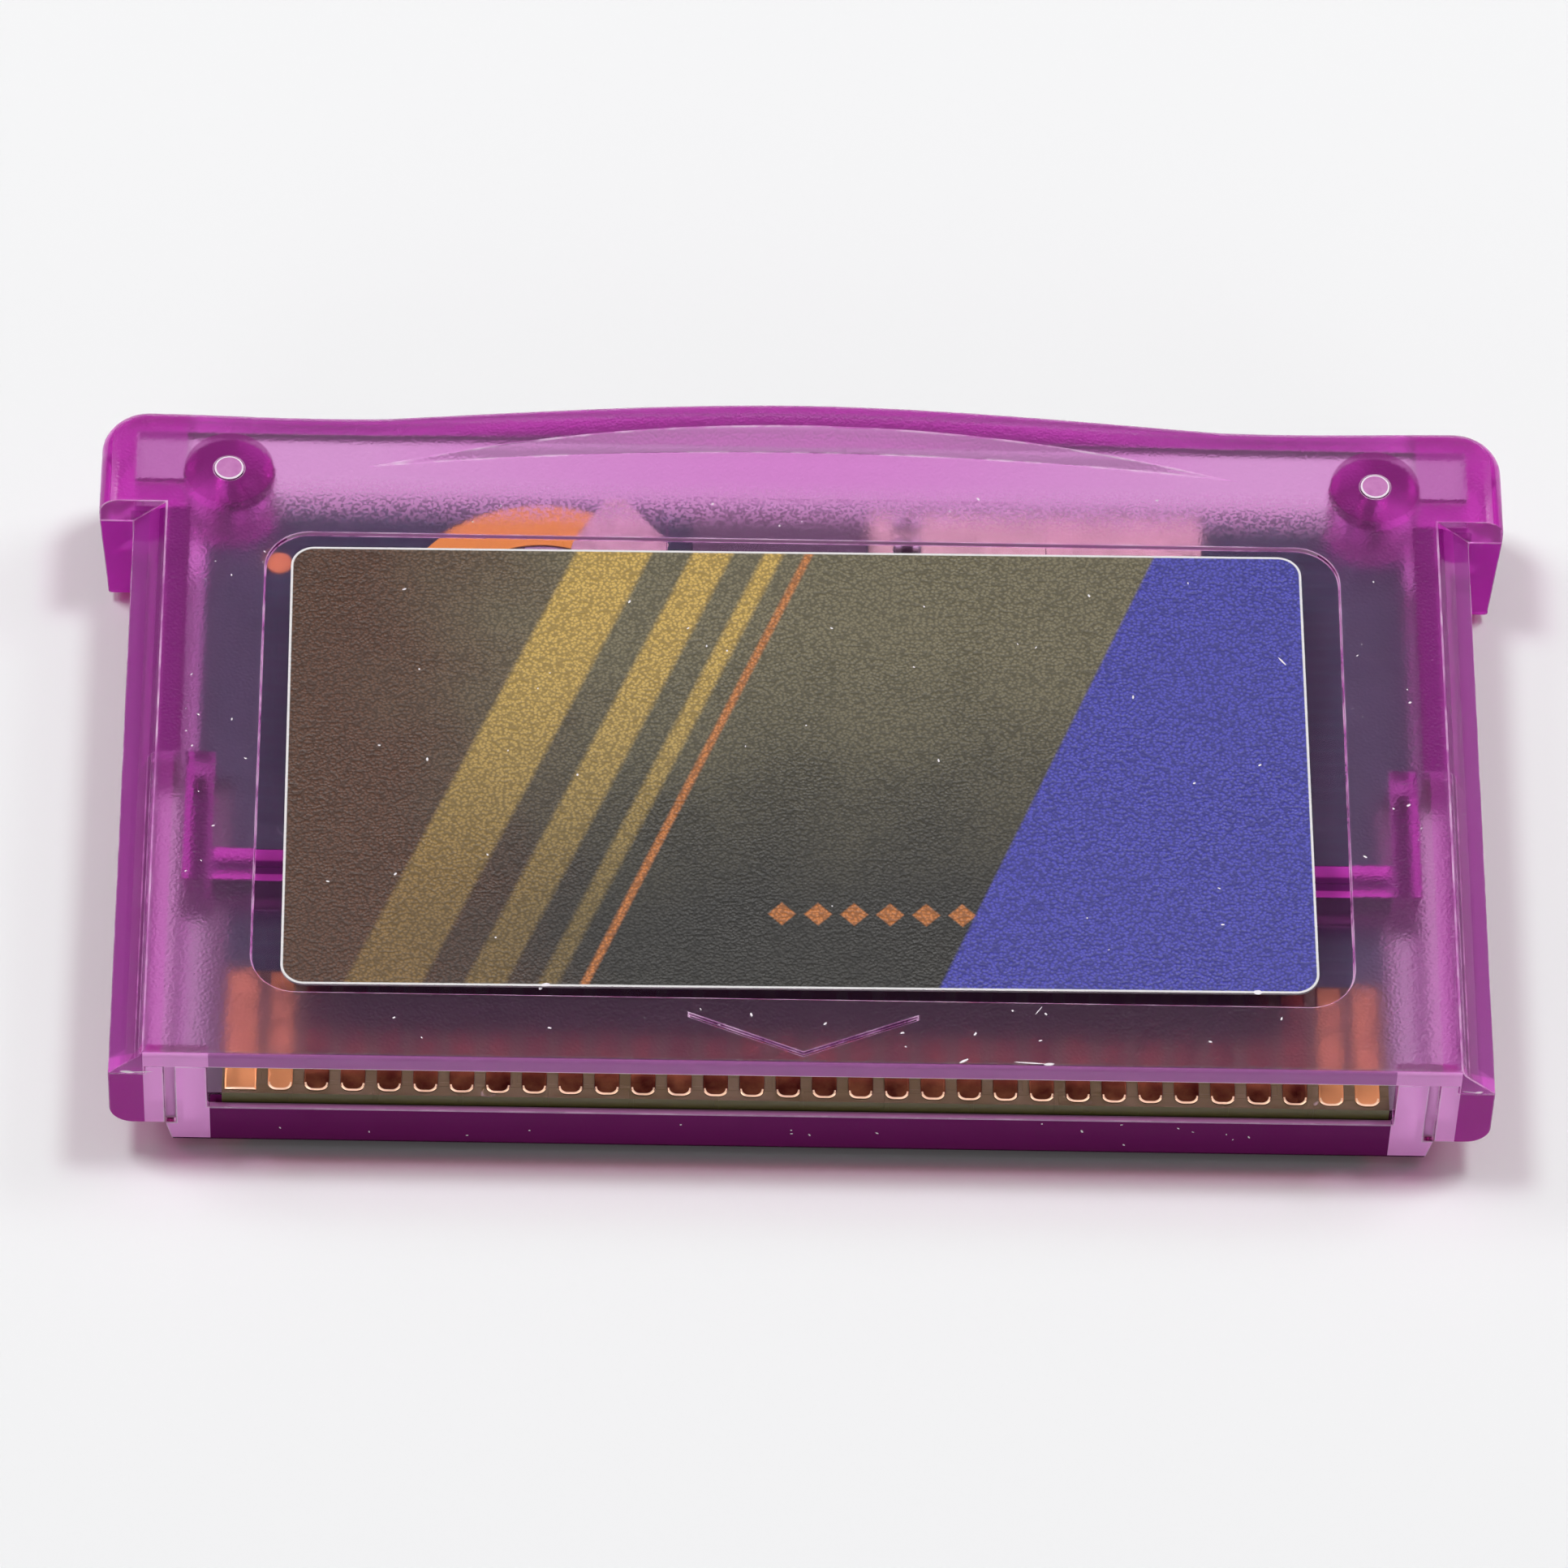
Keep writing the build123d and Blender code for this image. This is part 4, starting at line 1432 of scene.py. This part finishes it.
@dataclass
class Studio:
    """The pale floor, the soft light and the camera."""

    floor_size: float = 6.0
    floor_gap: float = 0.25 * MM
    floor_colour: Colour = (0.94, 0.94, 0.945)
    floor_roughness: float = 0.9
    zenith: Colour = (0.08, 0.08, 0.083)
    horizon: Colour = (0.1, 0.1, 0.103)
    glow: float = 0.96
    # Painted shadow under the board, in the backdrop seen through the plastic
    under: float = 0.12
    board_shadow_side: Span = (24.2 * MM, 26.5 * MM)
    board_shadow_end: Span = (15.0 * MM, 16.6 * MM)
    target: Place = (-0.716 * MM, -0.496 * MM, 3.0 * MM)
    distance: float = 441.9 * MM
    azimuth: float = -2.063
    elevation: float = 53.5
    roll: float = 2.575
    lens: float = 239.9
    sensor: float = 36.0
    clip: Span = (0.01, 100.0)

    def build(self) -> None:
        """Sets the stage."""
        self.floor()
        self.world()
        for softbox in SOFTBOXES:
            softbox.hang(Vector(self.target))
        self.camera()
        scene = bpy.context.scene
        scene.view_settings.view_transform = "Standard"
        scene.cycles.caustics_refractive = False
        scene.cycles.caustics_reflective = False

    def floor(self) -> None:
        """Lays the floor just under the cartridge; seen through the plastic it is an even bright backdrop
        with a painted shadow under the board.
        """
        bpy.ops.object.select_all(action="DESELECT")
        bpy.ops.mesh.primitive_plane_add(size=self.floor_size, location=(0.0, 0.0, -self.floor_gap))
        floor = bpy.context.object
        floor.name = "floor"
        bpy.ops.object.transform_apply(location=True)
        material = bpy.data.materials.new("floor_paper")
        material.use_nodes = True
        graph = Graph(material.node_tree)
        paper = material.node_tree.nodes["Principled BSDF"]
        paper.inputs["Base Color"].default_value = (*self.floor_colour, 1.0)
        paper.inputs["Roughness"].default_value = self.floor_roughness
        through = graph.node("LightPath").outputs["Is Transmission Ray"]
        # Painted shadow: the backdrop seen through the plastic is dimmed under the board
        x, y, _ = graph.axes(graph.own())
        beside = graph.between(graph.math("ABSOLUTE", x), *self.board_shadow_side)
        lit = graph.math("MAXIMUM", beside, graph.between(y, *self.board_shadow_end))
        strength = graph.between(lit, 0.0, 1.0, self.under, 1.0)
        glow = graph.node("Emission", {"Color": (self.glow,) * 3, "Strength": strength})
        above = graph.node("MixShader", {0: through, 1: paper.outputs[0], 2: glow.outputs[0]})
        below = graph.node("NewGeometry").outputs["Backfacing"]
        open_way = graph.node("BsdfTransparent")
        shown = graph.node("MixShader", {0: below, 1: above.outputs[0], 2: open_way.outputs[0]})
        graph.feed(material.node_tree.nodes["Material Output"].inputs["Surface"], shown.outputs[0])
        floor.data.materials.append(material)

    def world(self) -> None:
        """Surrounds the stage with soft pale light, a little stronger from the sides."""
        world = bpy.data.worlds.new("studio")
        bpy.context.scene.world = world
        world.use_nodes = True
        graph = Graph(world.node_tree)
        height = graph.axes(graph.node("TexCoord").outputs["Generated"])[2]
        light = graph.mix(graph.between(height, 0.0, 1.0), self.horizon, self.zenith)
        background = world.node_tree.nodes["Background"]
        graph.feed(background.inputs["Color"], light)
        background.inputs["Strength"].default_value = 1.0

    def camera(self) -> None:
        """Places the camera at the photograph's viewing angle."""
        turn, lift, lean = (math.radians(angle) for angle in (self.azimuth, self.elevation, self.roll))
        back = Vector((math.sin(turn) * math.cos(lift), -math.cos(turn) * math.cos(lift), math.sin(lift)))
        level = Vector((math.cos(turn), math.sin(turn), 0.0))
        right = level * math.cos(lean) + back.cross(level) * math.sin(lean)
        up = back.cross(right)
        data = bpy.data.cameras.new("photo_camera")
        data.lens = self.lens
        data.sensor_width = self.sensor
        data.clip_start, data.clip_end = self.clip
        camera = linked("photo_camera", data)
        place = Vector(self.target) + back * self.distance
        axes = Matrix((right, up, back)).transposed().to_4x4()
        camera.matrix_world = Matrix.Translation(place) @ axes
        bpy.context.scene.camera = camera


def main() -> None:
    """Builds the sub-assemblies in order and reports each piece."""
    logging.basicConfig(level=logging.INFO, format="%(name)s: %(message)s")
    parting = 4.9 * MM
    boss_joint = 2.6 * MM
    board_top = 3.2 * MM
    halves = (
        CaseShell("front_shell", "front_case", "shell_front", (parting, boss_joint, board_top), -1),
        CaseShell("rear_shell", "rear_case", "shell_rear", (parting, boss_joint), 1, finish=SHELL_REAR),
    )
    shells = [half.build() for half in halves]
    pieces = [*shells, EdgeContacts().build(), *StakedPins().build()]
    pieces.append(SurfaceMarks([*shells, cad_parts["label"]]).build())
    for piece in pieces:
        log.info("%s has %d faces", piece.name, len(piece.data.polygons))
    inner = DressedNodes(
        {
            LABEL: ("label",),
            BOARD: ("circuit_board",),
            GOLD: ("ground_plane",),
            COPPER: ("test_pads",),
            CHIP_RESIN: ("rom_chip", "memory_chip", "monitor_chip", "diode"),
            TIN: (
                "rom_leads",
                "memory_leads",
                "monitor_leads",
                "diode_leads",
                "capacitor_ends",
                "resistor_ends",
            ),
            CAPACITOR: ("capacitors",),
            RESISTOR: ("resistors",),
            STEEL: ("coin_cell",),
            FILM: ("cell_wrap",),
            NICKEL: ("upper_tab", "under_tab"),
            ZINC: ("case_screw",),
        }
    )
    for piece in inner.dress():
        log.info("%s is dressed", piece.name)
    Studio().build()


if __name__ == "__main__":
    main()
